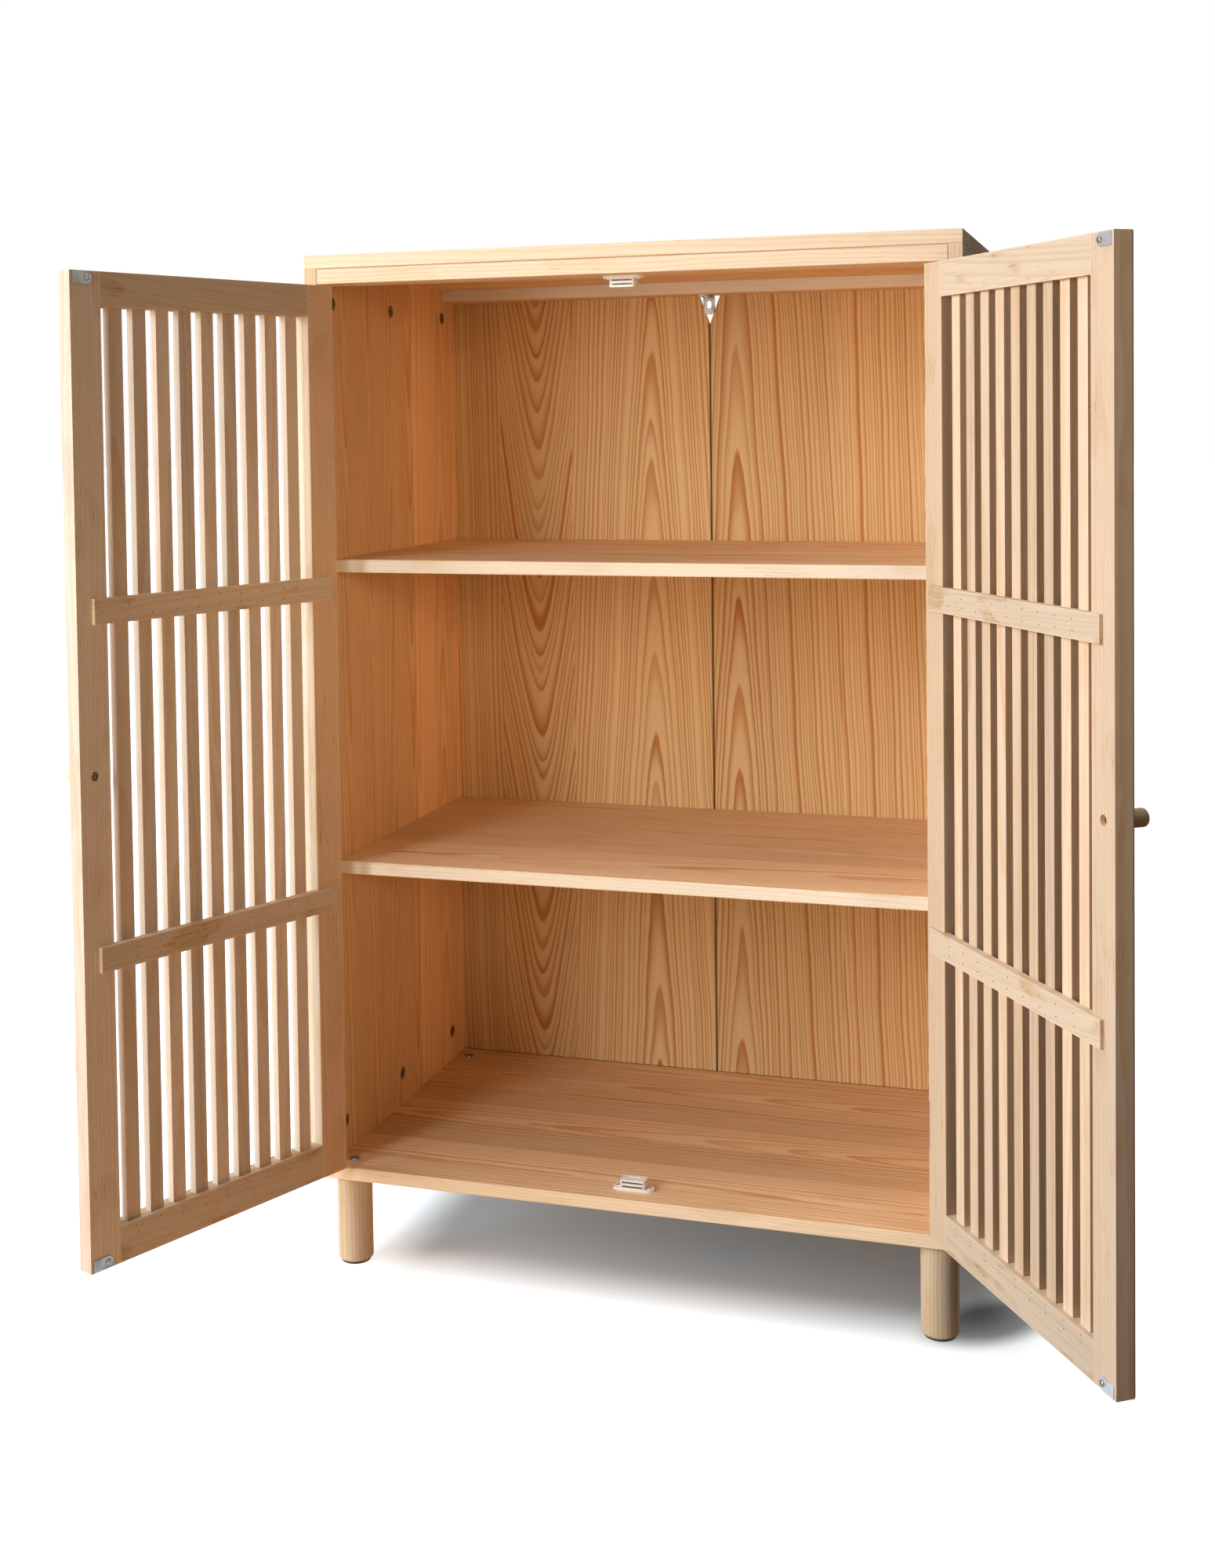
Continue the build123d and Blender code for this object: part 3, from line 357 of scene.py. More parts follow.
# Outlines of small heads of unit size: radius, height
PAN_RIM = [(0.5, 0.0), (0.5, 0.35), (0.485, 0.52), (0.45, 0.70), (0.40, 0.84), (0.33, 0.95), (0.30, 1.0)]
FLAT_RIM = [(0.5, -0.12), (0.495, -0.02), (0.48, 0.0)]
BRAD_RIM = [(0.5, 0.0), (0.5, 0.4), (0.4, 0.85)]
BATTEN_ROW_SHARE = 0.4


@dataclass(frozen=True)
class Board:
    """One wooden node of the frame: how it lies, its wood, and which of its wide faces looks inside."""

    node: str
    lie: Lie
    pine: Pine
    inner: float = 0.0


# Shader groups of the wood

def growth_rings() -> bpy.types.NodeTree:
    """Build the group that draws a trunk's growth rings through a board.

    Returns:
        A group whose Latewood rises slowly through each ring and drops at its end.
    """
    graph, at, out = shader_group(
        "growth_rings",
        [GroupInput("Vector", "Vector"), GroupInput("Pith Depth"), GroupInput("Rise"),
         GroupInput("Ring Pitch", value=0.005), GroupInput("Wander"), GroupInput("Seed")],
        [("Latewood", "Float"), ("Ring", "Float")])
    shift = graph.join(at["Seed"], graph.math("MULTIPLY", at["Seed"], 1.7), 0.0)
    slow = graph.vector("ADD", graph.vector("MULTIPLY", at["Vector"], (7.0, 7.0, 2.6)), shift)
    sway = graph.split(graph.noise(slow).outputs["Color"])
    fine = graph.vector("ADD", graph.vector("MULTIPLY", at["Vector"], (70.0, 70.0, 16.0)), shift)
    ripple = graph.math("SUBTRACT", graph.noise(fine).outputs[0], 0.5)
    x, y, z = graph.split(at["Vector"])

    def swayed(value: object, noise: object, share: float) -> bpy.types.NodeSocket:
        """Return a value moved by a share of the wander."""
        reach = graph.math("MULTIPLY", at["Wander"], share)
        return graph.math("MULTIPLY_ADD", graph.math("SUBTRACT", noise, 0.5), reach, value)

    across = swayed(x, sway[0], 2.0)
    deep = graph.math("ADD", y, at["Pith Depth"])
    square = graph.math("MULTIPLY_ADD", across, across, graph.math("MULTIPLY", deep, deep))
    radius = graph.math("MULTIPLY_ADD", z, at["Rise"], graph.math("SQRT", square))
    radius = swayed(radius, sway[1], 1.2)
    radius = graph.math("MULTIPLY_ADD", ripple, 0.0016, radius)
    uneven = graph.add("ShaderNodeTexNoise",
                       {"W": graph.math("MULTIPLY_ADD", radius, 55.0, at["Seed"]), "Scale": 1.0},
                       noise_dimensions="1D").outputs[0]
    turns = graph.math("DIVIDE", radius, at["Ring Pitch"])
    turns = graph.math("ADD", graph.math("MULTIPLY_ADD", uneven, 2.4, turns), at["Seed"])
    within = graph.math("FRACT", turns)
    rise = graph.math("POWER", graph.step(within, 0.1, 0.88), 1.7)
    fall = graph.math("SUBTRACT", 1.0, graph.step(within, 0.9, 1.0))
    ring = graph.white(graph.math("FLOOR", turns)).outputs["Value"]
    strength = graph.math("MULTIPLY_ADD", ring, 0.5, 0.5)
    late = graph.math("MULTIPLY", graph.math("MULTIPLY", rise, fall), strength)
    graph.feed(out.inputs["Latewood"], late)
    graph.feed(out.inputs["Ring"], ring)
    return graph.tree


def glued_staves() -> bpy.types.NodeTree:
    """Build the group that cuts a board into glued strips, each out of another part of the tree.

    Returns:
        A group that moves the wood's vector strip by strip and gives each its own tone and rise.
    """
    graph, at, out = shader_group(
        "glued_staves",
        [GroupInput("Vector", "Vector"), GroupInput("Width", value=0.07), GroupInput("Shift"),
         GroupInput("Rise"), GroupInput("Seed")],
        [("Vector", "Vector"), ("Rise", "Float"), ("Tone", "Float"), ("Joint", "Float")])
    x, y, z = graph.split(at["Vector"])
    places = graph.math("ADD", graph.math("DIVIDE", x, at["Width"]), at["Shift"])
    index = graph.math("ADD", graph.math("FLOOR", places), graph.math("MULTIPLY", at["Seed"], 9.7))
    pick = graph.white(index)
    red, green, blue = graph.split(pick.outputs["Color"])
    within = graph.math("FRACT", places)
    side = graph.math("SUBTRACT", within, 0.5)
    offset = graph.math("MULTIPLY", graph.math("SUBTRACT", red, 0.5), 1.4)
    across = graph.math("MULTIPLY", graph.math("ADD", side, offset), at["Width"])
    graph.feed(out.inputs["Vector"], graph.join(
        across, graph.math("MULTIPLY_ADD", green, 0.03, y), graph.math("MULTIPLY_ADD", blue, 1.9, z)))
    graph.feed(out.inputs["Rise"], graph.math(
        "MULTIPLY", at["Rise"], graph.math("MULTIPLY_ADD", blue, 3.0, -1.5)))
    graph.feed(out.inputs["Tone"], graph.math("MULTIPLY_ADD", pick.outputs["Value"], 2.0, -1.0))
    edge = graph.math("SUBTRACT", 0.5, graph.math("ABSOLUTE", side))
    near = graph.step(graph.math("MULTIPLY", edge, at["Width"]), 0.0, 0.0006)
    graph.feed(out.inputs["Joint"], graph.math("SUBTRACT", 1.0, near))
    return graph.tree


def board_edges() -> bpy.types.NodeTree:
    """Build the group that tells a board's faces apart.

    Returns:
        A group that masks the faces which look outside, and the arrises, where light and shade are painted.
    """
    graph, at, out = shader_group(
        "board_edges",
        [GroupInput("Vector", "Vector"), GroupInput("Half Size", "Vector"), GroupInput("Inner")],
        [("Outside", "Float"), ("Arris", "Float")])
    inside = graph.vector("SUBTRACT", at["Half Size"], graph.vector("ABSOLUTE", at["Vector"]))
    width, thick, length = graph.split(inside)
    narrow = graph.step(thick, 0.0001, 0.0012)
    y = graph.split(at["Vector"])[1]
    turned = graph.step(graph.math("MULTIPLY", y, graph.math("MULTIPLY", at["Inner"], -1.0)), 0.0, 0.0008)
    graph.feed(out.inputs["Outside"], graph.math("MAXIMUM", narrow, turned))
    pairs = [graph.math("MAXIMUM", a, b) for a, b in ((width, thick), (thick, length), (width, length))]
    near = graph.math("MINIMUM", graph.math("MINIMUM", pairs[0], pairs[1]), pairs[2])
    graph.feed(out.inputs["Arris"], graph.math("SUBTRACT", 1.0, graph.step(near, 0.0004, 0.0016)))
    return graph.tree


def pine_surface() -> bpy.types.NodeTree:
    """Build the group that colours pine from its rings, strips, fibres and flecks.

    Returns:
        A group with the wood's colour, roughness and height.
    """
    graph, at, out = shader_group(
        "pine_surface",
        [GroupInput("Vector", "Vector"), GroupInput("Latewood"), GroupInput("Tone"),
         GroupInput("Joint"), GroupInput("Outside"), GroupInput("Arris"),
         GroupInput("Early", "Color", (0.8, 0.6, 0.4)), GroupInput("Late", "Color", (0.6, 0.4, 0.2)),
         GroupInput("Edge Early", "Color", (0.8, 0.6, 0.4)),
         GroupInput("Edge Late", "Color", (0.6, 0.4, 0.2)), GroupInput("Stave Tone"),
         GroupInput("Flecks"), GroupInput("Figure"), GroupInput("Worn", "Color", (0.86, 0.7, 0.5)),
         GroupInput("Wear"), GroupInput("Base Roughness", value=0.5)],
        [("Color", "Color"), ("Roughness", "Float"), ("Height", "Float")])
    fibre = graph.noise(graph.vector("MULTIPLY", at["Vector"], (900.0, 900.0, 14.0)), 3.0, 0.6).outputs[0]
    cloud = graph.noise(graph.vector("MULTIPLY", at["Vector"], (14.0, 14.0, 3.0)), 3.0).outputs[0]
    dash = graph.noise(graph.vector("MULTIPLY", at["Vector"], (640.0, 640.0, 60.0)), 1.0).outputs[0]
    face = graph.mix(at["Latewood"], at["Early"], at["Late"])
    edge = graph.mix(at["Latewood"], at["Edge Early"], at["Edge Late"])
    colour = graph.mix(at["Outside"], face, edge)
    tone = graph.math("MULTIPLY_ADD", at["Tone"], at["Stave Tone"], 1.0)
    tone = graph.math("MULTIPLY_ADD", graph.math("SUBTRACT", fibre, 0.5), 0.22, tone)
    tone = graph.math("MULTIPLY_ADD", graph.math("SUBTRACT", cloud, 0.5), 0.22, tone)
    colour = graph.mix(1.0, colour, graph.join(tone, tone, tone), "MULTIPLY")
    blotch = graph.noise(graph.vector("MULTIPLY", at["Vector"], (30.0, 30.0, 11.0)), 2.0).outputs[0]
    blotch = graph.math("MULTIPLY", graph.step(blotch, 0.55, 0.63), at["Figure"])
    colour = graph.mix(blotch, colour, graph.mix(1.0, colour, (0.90, 0.82, 0.72), "MULTIPLY"))
    sought = graph.math("MULTIPLY_ADD", blotch, 0.14, dash)
    fleck = graph.math("MULTIPLY", graph.step(sought, 0.68, 0.78), at["Flecks"])
    colour = graph.mix(fleck, colour, graph.mix(1.0, colour, (0.62, 0.42, 0.28), "MULTIPLY"))
    joint = graph.math("MULTIPLY", at["Joint"], 0.35)
    colour = graph.mix(joint, colour, graph.mix(1.0, colour, (0.6, 0.45, 0.35), "MULTIPLY"))
    # Painted highlight along the arrises; on the front top rail and the back panel, a painted shadow line
    # instead.
    colour = graph.mix(graph.math("MULTIPLY", at["Arris"], at["Wear"]), colour, at["Worn"])
    graph.feed(out.inputs["Color"], colour)
    rough = graph.math("MULTIPLY_ADD", fibre, 0.12, at["Base Roughness"])
    graph.feed(out.inputs["Roughness"], graph.math("MULTIPLY_ADD", at["Latewood"], -0.08, rough))
    height = graph.math("MULTIPLY_ADD", at["Latewood"], 0.5, fibre)
    graph.feed(out.inputs["Height"], graph.math("MULTIPLY_ADD", fleck, -0.8, height))
    return graph.tree


class Timber:
    """The wood of the cabinet: the shader groups, and a material cut to fit each board."""

    def __init__(self) -> None:
        """Build the groups that every wooden material shares."""
        self.rings = growth_rings()
        self.staves = glued_staves()
        self.edges = board_edges()
        self.surface = pine_surface()

    def cut(self, board: Board, seed: int, body_turn: float) -> bpy.types.Material:
        """Make one board's own material.

        Args:
            board: The board, whose node gives its place and size.
            seed: A number that no other board has.
            body_turn: The angle that its body stands turned about the vertical, in radians.

        Returns:
            The material, laid along the board's grain.
        """
        turn = board.lie.turn(body_turn)
        corners = np.array([v.co for v in frame["nodes"][board.node].data.vertices]) @ np.array(turn)
        low, high = corners.min(0), corners.max(0)
        centre = turn @ Vector((low + high) / 2)
        half = Vector((high - low) / 2)
        return self.material(board.node, board.pine, turn, centre, half, seed, board.inner)

    def material(self, name: str, pine: Pine, turn: Matrix, centre: Vector, half: Vector, seed: int,
                 inner: float = 0.0) -> bpy.types.Material:
        """Make a wooden material.

        Args:
            name: The material's name.
            pine: The piece of pine.
            turn: Columns of the width, thickness and grain axes.
            centre: The middle of the piece.
            half: Half its width, thickness and length.
            seed: A number that no other piece has.
            inner: Which wide face looks inside: -1 or 1 along the thickness, or 0 for both.

        Returns:
            The material.
        """
        material = bpy.data.materials.new(f"{name}_pine")
        material.use_nodes = True
        graph = Graph(material.node_tree)
        shader = material.node_tree.nodes["Principled BSDF"]
        coords = graph.add("ShaderNodeTexCoord").outputs["Object"]
        local = graph.add("ShaderNodeMapping", {"Vector": coords, "Location": tuple(centre),
                                                "Rotation": tuple(turn.to_euler())},
                          vector_type="TEXTURE").outputs[0]
        if name in BACK_STAVES:
            laid = self.veneer(graph, local, BACK_STAVES[name], half.x)
            shift = 0.0
        else:
            shift = pine.stave_shift if pine.stave_shift is not None else seed * 0.37
            staves = graph.add("ShaderNodeGroup", {}, node_tree=self.staves)
            for key, value in (("Vector", local), ("Width", pine.stave_width), ("Shift", shift),
                               ("Rise", pine.rise), ("Seed", float(seed))):
                graph.feed(staves.inputs[key], value)
            laid = tuple(staves.outputs)
        rings = graph.add("ShaderNodeGroup", {}, node_tree=self.rings)
        for key, value in (("Vector", laid[0]), ("Pith Depth", pine.pith_depth), ("Rise", laid[1]),
                           ("Ring Pitch", pine.ring_pitch), ("Wander", pine.wander),
                           ("Seed", float(seed))):
            graph.feed(rings.inputs[key], value)
        edges = graph.add("ShaderNodeGroup", {}, node_tree=self.edges)
        for key, value in (("Vector", local), ("Half Size", tuple(half)), ("Inner", inner)):
            graph.feed(edges.inputs[key], value)
        surface = graph.add("ShaderNodeGroup", {}, node_tree=self.surface)
        for key, value in (("Vector", laid[0]), ("Latewood", rings.outputs["Latewood"]),
                           ("Tone", laid[2]), ("Joint", laid[3]), ("Outside", edges.outputs["Outside"]),
                           ("Arris", edges.outputs["Arris"]), ("Early", rgba(pine.early)),
                           ("Late", rgba(pine.late)), ("Edge Early", rgba(pine.edge_early)),
                           ("Edge Late", rgba(pine.edge_late)), ("Stave Tone", pine.stave_tone),
                           ("Flecks", pine.flecks), ("Figure", pine.figure), ("Worn", rgba(pine.worn)),
                           ("Wear", pine.wear), ("Base Roughness", pine.roughness)):
            graph.feed(surface.inputs[key], value)
        bump = graph.add("ShaderNodeBump", {"Height": surface.outputs["Height"],
                                            "Strength": pine.bump, "Distance": 0.3 * MM})
        graph.feed(shader.inputs["Base Color"], surface.outputs["Color"])
        graph.feed(shader.inputs["Roughness"], surface.outputs["Roughness"])
        graph.feed(shader.inputs["Normal"], bump.outputs[0])
        shader.inputs["Specular IOR Level"].default_value = 0.0
        return material

    @staticmethod
    def veneer(graph: Graph, local: object, staves: tuple[Stave, ...], half_width: float) -> tuple:
        """Lay a board's strips where a table says.

        Args:
            graph: The material's graph.
            local: The board's own vector.
            staves: The strips from the board's left edge.
            half_width: Half the board's width.

        Returns:
            The moved vector, the rise, the tone and the joint mask.
        """
        x, y, z = graph.split(local)
        from_left = graph.math("ADD", x, half_width)
        starts = [0.0, *(stave.end for stave in staves[:-1])]
        span = 2 * half_width
        stops = [(start / span, ((stave.centre + VENEER_REACH) / (2 * VENEER_REACH),
                                 (stave.rise + VENEER_RISE) / (2 * VENEER_RISE), index / len(staves)))
                 for index, (start, stave) in enumerate(zip(starts, staves))]
        found = graph.ramp(graph.math("DIVIDE", from_left, span), stops, "CONSTANT")
        centre_share, rise_share, pick = graph.split(found)
        centre = graph.math("MULTIPLY_ADD", centre_share, 2 * VENEER_REACH, -VENEER_REACH)
        rise = graph.math("MULTIPLY_ADD", rise_share, 2 * VENEER_RISE, -VENEER_RISE)
        moved = graph.join(graph.math("SUBTRACT", from_left, centre), y, graph.math("ADD", z, pick))
        return moved, rise, graph.math("MULTIPLY_ADD", pick, 2.0, -0.7), 0.0



# Finishes of the fittings

@dataclass(frozen=True)
class Metal:
    """A plain metal: its colour where bright and where dull, and how rough it is."""

    bright: Colour
    dull: Colour
    roughness: float
    patch_scale: float = 400.0

    def material(self, name: str, mottle: bpy.types.NodeTree) -> bpy.types.Material:
        """Return the metal's material."""
        graph, shader, patches = fitting_graph(name, mottle, self.patch_scale)
        graph.feed(shader.inputs["Base Color"], graph.mix(patches["Patch"], self.bright, self.dull))
        graph.feed(shader.inputs["Roughness"],
                   graph.math("MULTIPLY_ADD", patches["Patch"], 0.25, self.roughness))
        shader.inputs["Metallic"].default_value = 1.0
        bump = graph.add("ShaderNodeBump", {"Height": patches["Grit"], "Strength": 0.2,
                                            "Distance": 0.05 * MM})
        graph.feed(shader.inputs["Normal"], bump.outputs[0])
        return graph.material


@dataclass(frozen=True)
class Plastic:
    """A moulded plastic: its colour, the colour of its handled spots, and how rough it is."""

    colour: Colour
    soiled: Colour
    roughness: float
    patch_scale: float = 120.0

    def material(self, name: str, mottle: bpy.types.NodeTree) -> bpy.types.Material:
        """Return the plastic's material."""
        graph, shader, patches = fitting_graph(name, mottle, self.patch_scale)
        graph.feed(shader.inputs["Base Color"], graph.mix(patches["Patch"], self.colour, self.soiled))
        graph.feed(shader.inputs["Roughness"],
                   graph.math("MULTIPLY_ADD", patches["Grit"], 0.12, self.roughness))
        bump = graph.add("ShaderNodeBump", {"Height": patches["Grit"], "Strength": 0.03,
                                            "Distance": 0.05 * MM})
        graph.feed(shader.inputs["Normal"], bump.outputs[0])
        return graph.material


def mottle_group() -> bpy.types.NodeTree:
    """Build the group of soft patches and fine grit that the fittings share."""
    graph, at, out = shader_group(
        "mottle", [GroupInput("Vector", "Vector"), GroupInput("Patch Scale", value=100.0)],
        [("Patch", "Float"), ("Grit", "Float")])
    patch = graph.noise(graph.vector("MULTIPLY", at["Vector"], graph.join(*[at["Patch Scale"]] * 3)))
    graph.feed(out.inputs["Patch"], graph.step(patch.outputs[0], 0.35, 0.7))
    grit = graph.noise(graph.vector("MULTIPLY", at["Vector"], (6000.0, 6000.0, 6000.0)), 1.0)
    graph.feed(out.inputs["Grit"], grit.outputs[0])
    return graph.tree


def fitting_graph(name: str, mottle: bpy.types.NodeTree, patch_scale: float) -> tuple:
    """Start a fitting's material.

    Args:
        name: The material's name.
        mottle: The shared group of patches and grit.
        patch_scale: How many patches there are to a metre.

    Returns:
        The graph, its shader node, and the group's outputs.
    """
    material = bpy.data.materials.new(name)
    material.use_nodes = True
    graph = Graph(material.node_tree)
    graph.material = material
    coords = graph.add("ShaderNodeTexCoord").outputs["Object"]
    patches = graph.add("ShaderNodeGroup", {}, node_tree=mottle)
    graph.feed(patches.inputs["Vector"], coords)
    graph.feed(patches.inputs["Patch Scale"], patch_scale)
    return graph, material.node_tree.nodes["Principled BSDF"], patches.outputs


class Fitting(Enum):
    """The finishes of everything that isn't wood."""

    ZINC = Metal((0.62, 0.63, 0.64), (0.42, 0.43, 0.44), 0.34)
    # The right door's plate is painted brighter and the left door's plate darker: painted light and painted
    # shade on one metal.
    LIT_PLATE = Metal((0.56, 0.58, 0.60), (0.44, 0.46, 0.48), 0.30, 60.0)
    SHADED_PLATE = Metal((0.27, 0.27, 0.26), (0.20, 0.20, 0.195), 0.34, 60.0)
    SCREW = Metal((0.34, 0.33, 0.32), (0.18, 0.17, 0.16), 0.28)
    BRACKET = Metal((0.36, 0.30, 0.25), (0.27, 0.22, 0.18), 0.34, 90.0)
    NICKEL = Metal((0.72, 0.70, 0.67), (0.50, 0.48, 0.46), 0.25)
    CAM = Metal((0.30, 0.24, 0.15), (0.16, 0.12, 0.08), 0.42)
    IRON = Metal((0.20, 0.17, 0.15), (0.10, 0.09, 0.08), 0.45)
    BRASS = Metal((0.34, 0.18, 0.08), (0.22, 0.11, 0.05), 0.5)
    FERRITE = Plastic((0.05, 0.05, 0.05), (0.08, 0.07, 0.07), 0.6)
    WHITE = Plastic((0.97, 0.97, 0.96), (0.92, 0.91, 0.90), 0.42)
    DARK = Plastic((0.045, 0.035, 0.03), (0.07, 0.06, 0.05), 0.7)


# Places read from the frame

def islands(node: str) -> list[np.ndarray]:
    """Return the points of each separate solid in a node.

    Args:
        node: The node's name.

    Returns:
        One array of points for each solid, in the shared frame.
    """
    mesh = bmesh.new()
    mesh.from_mesh(frame["nodes"][node].data)
    bmesh.ops.remove_doubles(mesh, verts=mesh.verts, dist=0.002 * MM)
    found, left = [], set(mesh.verts)
    while left:
        todo = [left.pop()]
        group = []
        while todo:
            vert = todo.pop()
            group.append(tuple(vert.co))
            for edge in vert.link_edges:
                other = edge.other_vert(vert)
                if other in left:
                    left.remove(other)
                    todo.append(other)
        found.append(np.array(group))
    mesh.free()
    return sorted(found, key=lambda points: tuple(points.mean(0).round(4)))


@dataclass(frozen=True)
class Head:
    """A fastener's head where a solid has one: the middle of its seat and the way it faces."""

    seat: Vector
    axis: Vector


def heads(node: str, axis_of: object, high: float) -> list[Head]:
    """Return the heads of a node's fasteners.

    Args:
        node: The node's name.
        axis_of: A function that gives a head's direction from the middle of its solid.
        high: How far a head stands above its seat.

    Returns:
        One head for each solid of the node.
    """
    found = []
    for points in islands(node):
        axis = Vector(axis_of(Vector((points.min(0) + points.max(0)) / 2))).normalized()
        across = axis.orthogonal().normalized()
        beside = axis.cross(across)
        seat = Vector()
        for direction, share in ((across, 0.5), (beside, 0.5), (axis, 1.0)):
            reach = points @ np.array(direction)
            place = reach.min() * (1 - share) + reach.max() * share
            seat += direction * (place - (high if share == 1.0 else 0.0))
        found.append(Head(seat, axis))
    return found


# Meshes

def link(name: str, mesh: bpy.types.Mesh) -> bpy.types.Object:
    """Put a mesh in the scene as an object at the origin."""
    piece = bpy.data.objects.new(name, mesh)
    bpy.context.scene.collection.objects.link(piece)
    return piece


def mesh_of(name: str, form: bmesh.types.BMesh, smooth_below: float = 40.0) -> bpy.types.Mesh:
    """Turn a finished form into a mesh whose faces look outwards.

    Args:
        name: The mesh's name.
        form: The form, which is freed.
        smooth_below: The angle in degrees under which two faces shade as one.

    Returns:
        The mesh.
    """
    bmesh.ops.remove_doubles(form, verts=form.verts, dist=0.001 * MM)
    bmesh.ops.recalc_face_normals(form, faces=form.faces)
    mesh = bpy.data.meshes.new(name)
    form.to_mesh(mesh)
    form.free()
    mesh.shade_smooth()
    mesh.set_sharp_from_angle(angle=math.radians(smooth_below))
    return mesh


def lathe(outline: list[tuple[float, float]], sides: int = 64) -> bmesh.types.BMesh:
    """Turn an outline about the local Z axis.

    Args:
        outline: Points of radius and height, from one end on the axis to the other.
        sides: How many sides the turned form has.

    Returns:
        The closed form.
    """
    form = bmesh.new()
    rings = []
    for radius, height in outline:
        count = 1 if radius == 0 else sides
        rings.append([form.verts.new((radius * math.cos(math.tau * i / sides),
                                      radius * math.sin(math.tau * i / sides), height))
                      for i in range(count)])
    for lower, upper in zip(rings, rings[1:]):
        for i in range(sides):
            corners = [lower[i % len(lower)], lower[(i + 1) % len(lower)],
                       upper[(i + 1) % len(upper)], upper[i % len(upper)]]
            form.faces.new(list(dict.fromkeys(corners)))
    return form


def rounded(radius: float, height: float, corner: float, steps: int = 6,
            sign: float = 1.0) -> list[tuple[float, float]]:
    """Return outline points round a corner, from the side of a turned piece to its end.

    Args:
        radius: The piece's radius.
        height: The height of the end.
        corner: The radius of the round.
        steps: How many straight parts the round has.
        sign: 1 for an upper end, -1 for a lower one.

    Returns:
        Points of radius and height.
    """
    return [(radius - corner + corner * math.cos(math.pi / 2 * i / steps),
             height - sign * corner + sign * corner * math.sin(math.pi / 2 * i / steps))
            for i in range(steps + 1)]


CROSS_ARM_SHARE = 0.27
CROSS_HALF_SHARE = 0.06
CROSS_FOOT_SHARE = 0.7


def cross_outline(form: bmesh.types.BMesh, share: float, height: float) -> list[bmesh.types.BMVert]:
    """Lay the twelve points of a cross recess."""
    arm, half = CROSS_ARM_SHARE * share, CROSS_HALF_SHARE * share
    quarter = [(half, arm), (half, half), (arm, half)]
    points = []
    for turn in range(4):
        corner = Matrix.Rotation(-math.pi / 2 * turn, 2)
        points += [corner @ Vector(point) for point in quarter]
    return [form.verts.new((*point, height)) for point in points]


def screw_head(name: str, rim: list[tuple[float, float]], foot: float, deep: float) -> bpy.types.Object:
    """Model a screw head of unit diameter with a cross recess.

    Args:
        name: The name of the object.
        rim: Outline of the head from its outer edge to the flat that holds the recess.
        foot: The height of its flat underside.
        deep: How deep the recess goes below the flat.

    Returns:
        The head, which stands on its seat at height 0.
    """
    form = bmesh.new()
    sides = 32
    rings = [[form.verts.new((radius * math.cos(math.tau * i / sides),
                              radius * math.sin(math.tau * i / sides), height)) for i in range(sides)]
             for radius, height in [(rim[0][0], foot), *rim]]
    form.faces.new(rings[0])
    for lower, upper in zip(rings, rings[1:]):
        for i in range(sides):
            form.faces.new([lower[i], lower[(i + 1) % sides], upper[(i + 1) % sides], upper[i]])
    top = rim[-1][1]
    mouth = cross_outline(form, 1.0, top)
    floor = cross_outline(form, CROSS_FOOT_SHARE, top - deep)
    for i in range(len(mouth)):
        after = (i + 1) % len(mouth)
        form.faces.new([mouth[i], mouth[after], floor[after], floor[i]])
    bmesh.ops.triangulate(form, faces=[form.faces.new(floor)])
    loops = [rings[-1], mouth]
    edges = [form.edges.get((loop[i], loop[(i + 1) % len(loop)])) for loop in loops
             for i in range(len(loop))]
    bmesh.ops.triangle_fill(form, use_beauty=True, edges=edges)
    return link(name, mesh_of(name, form, 35.0))


# Geometry Nodes

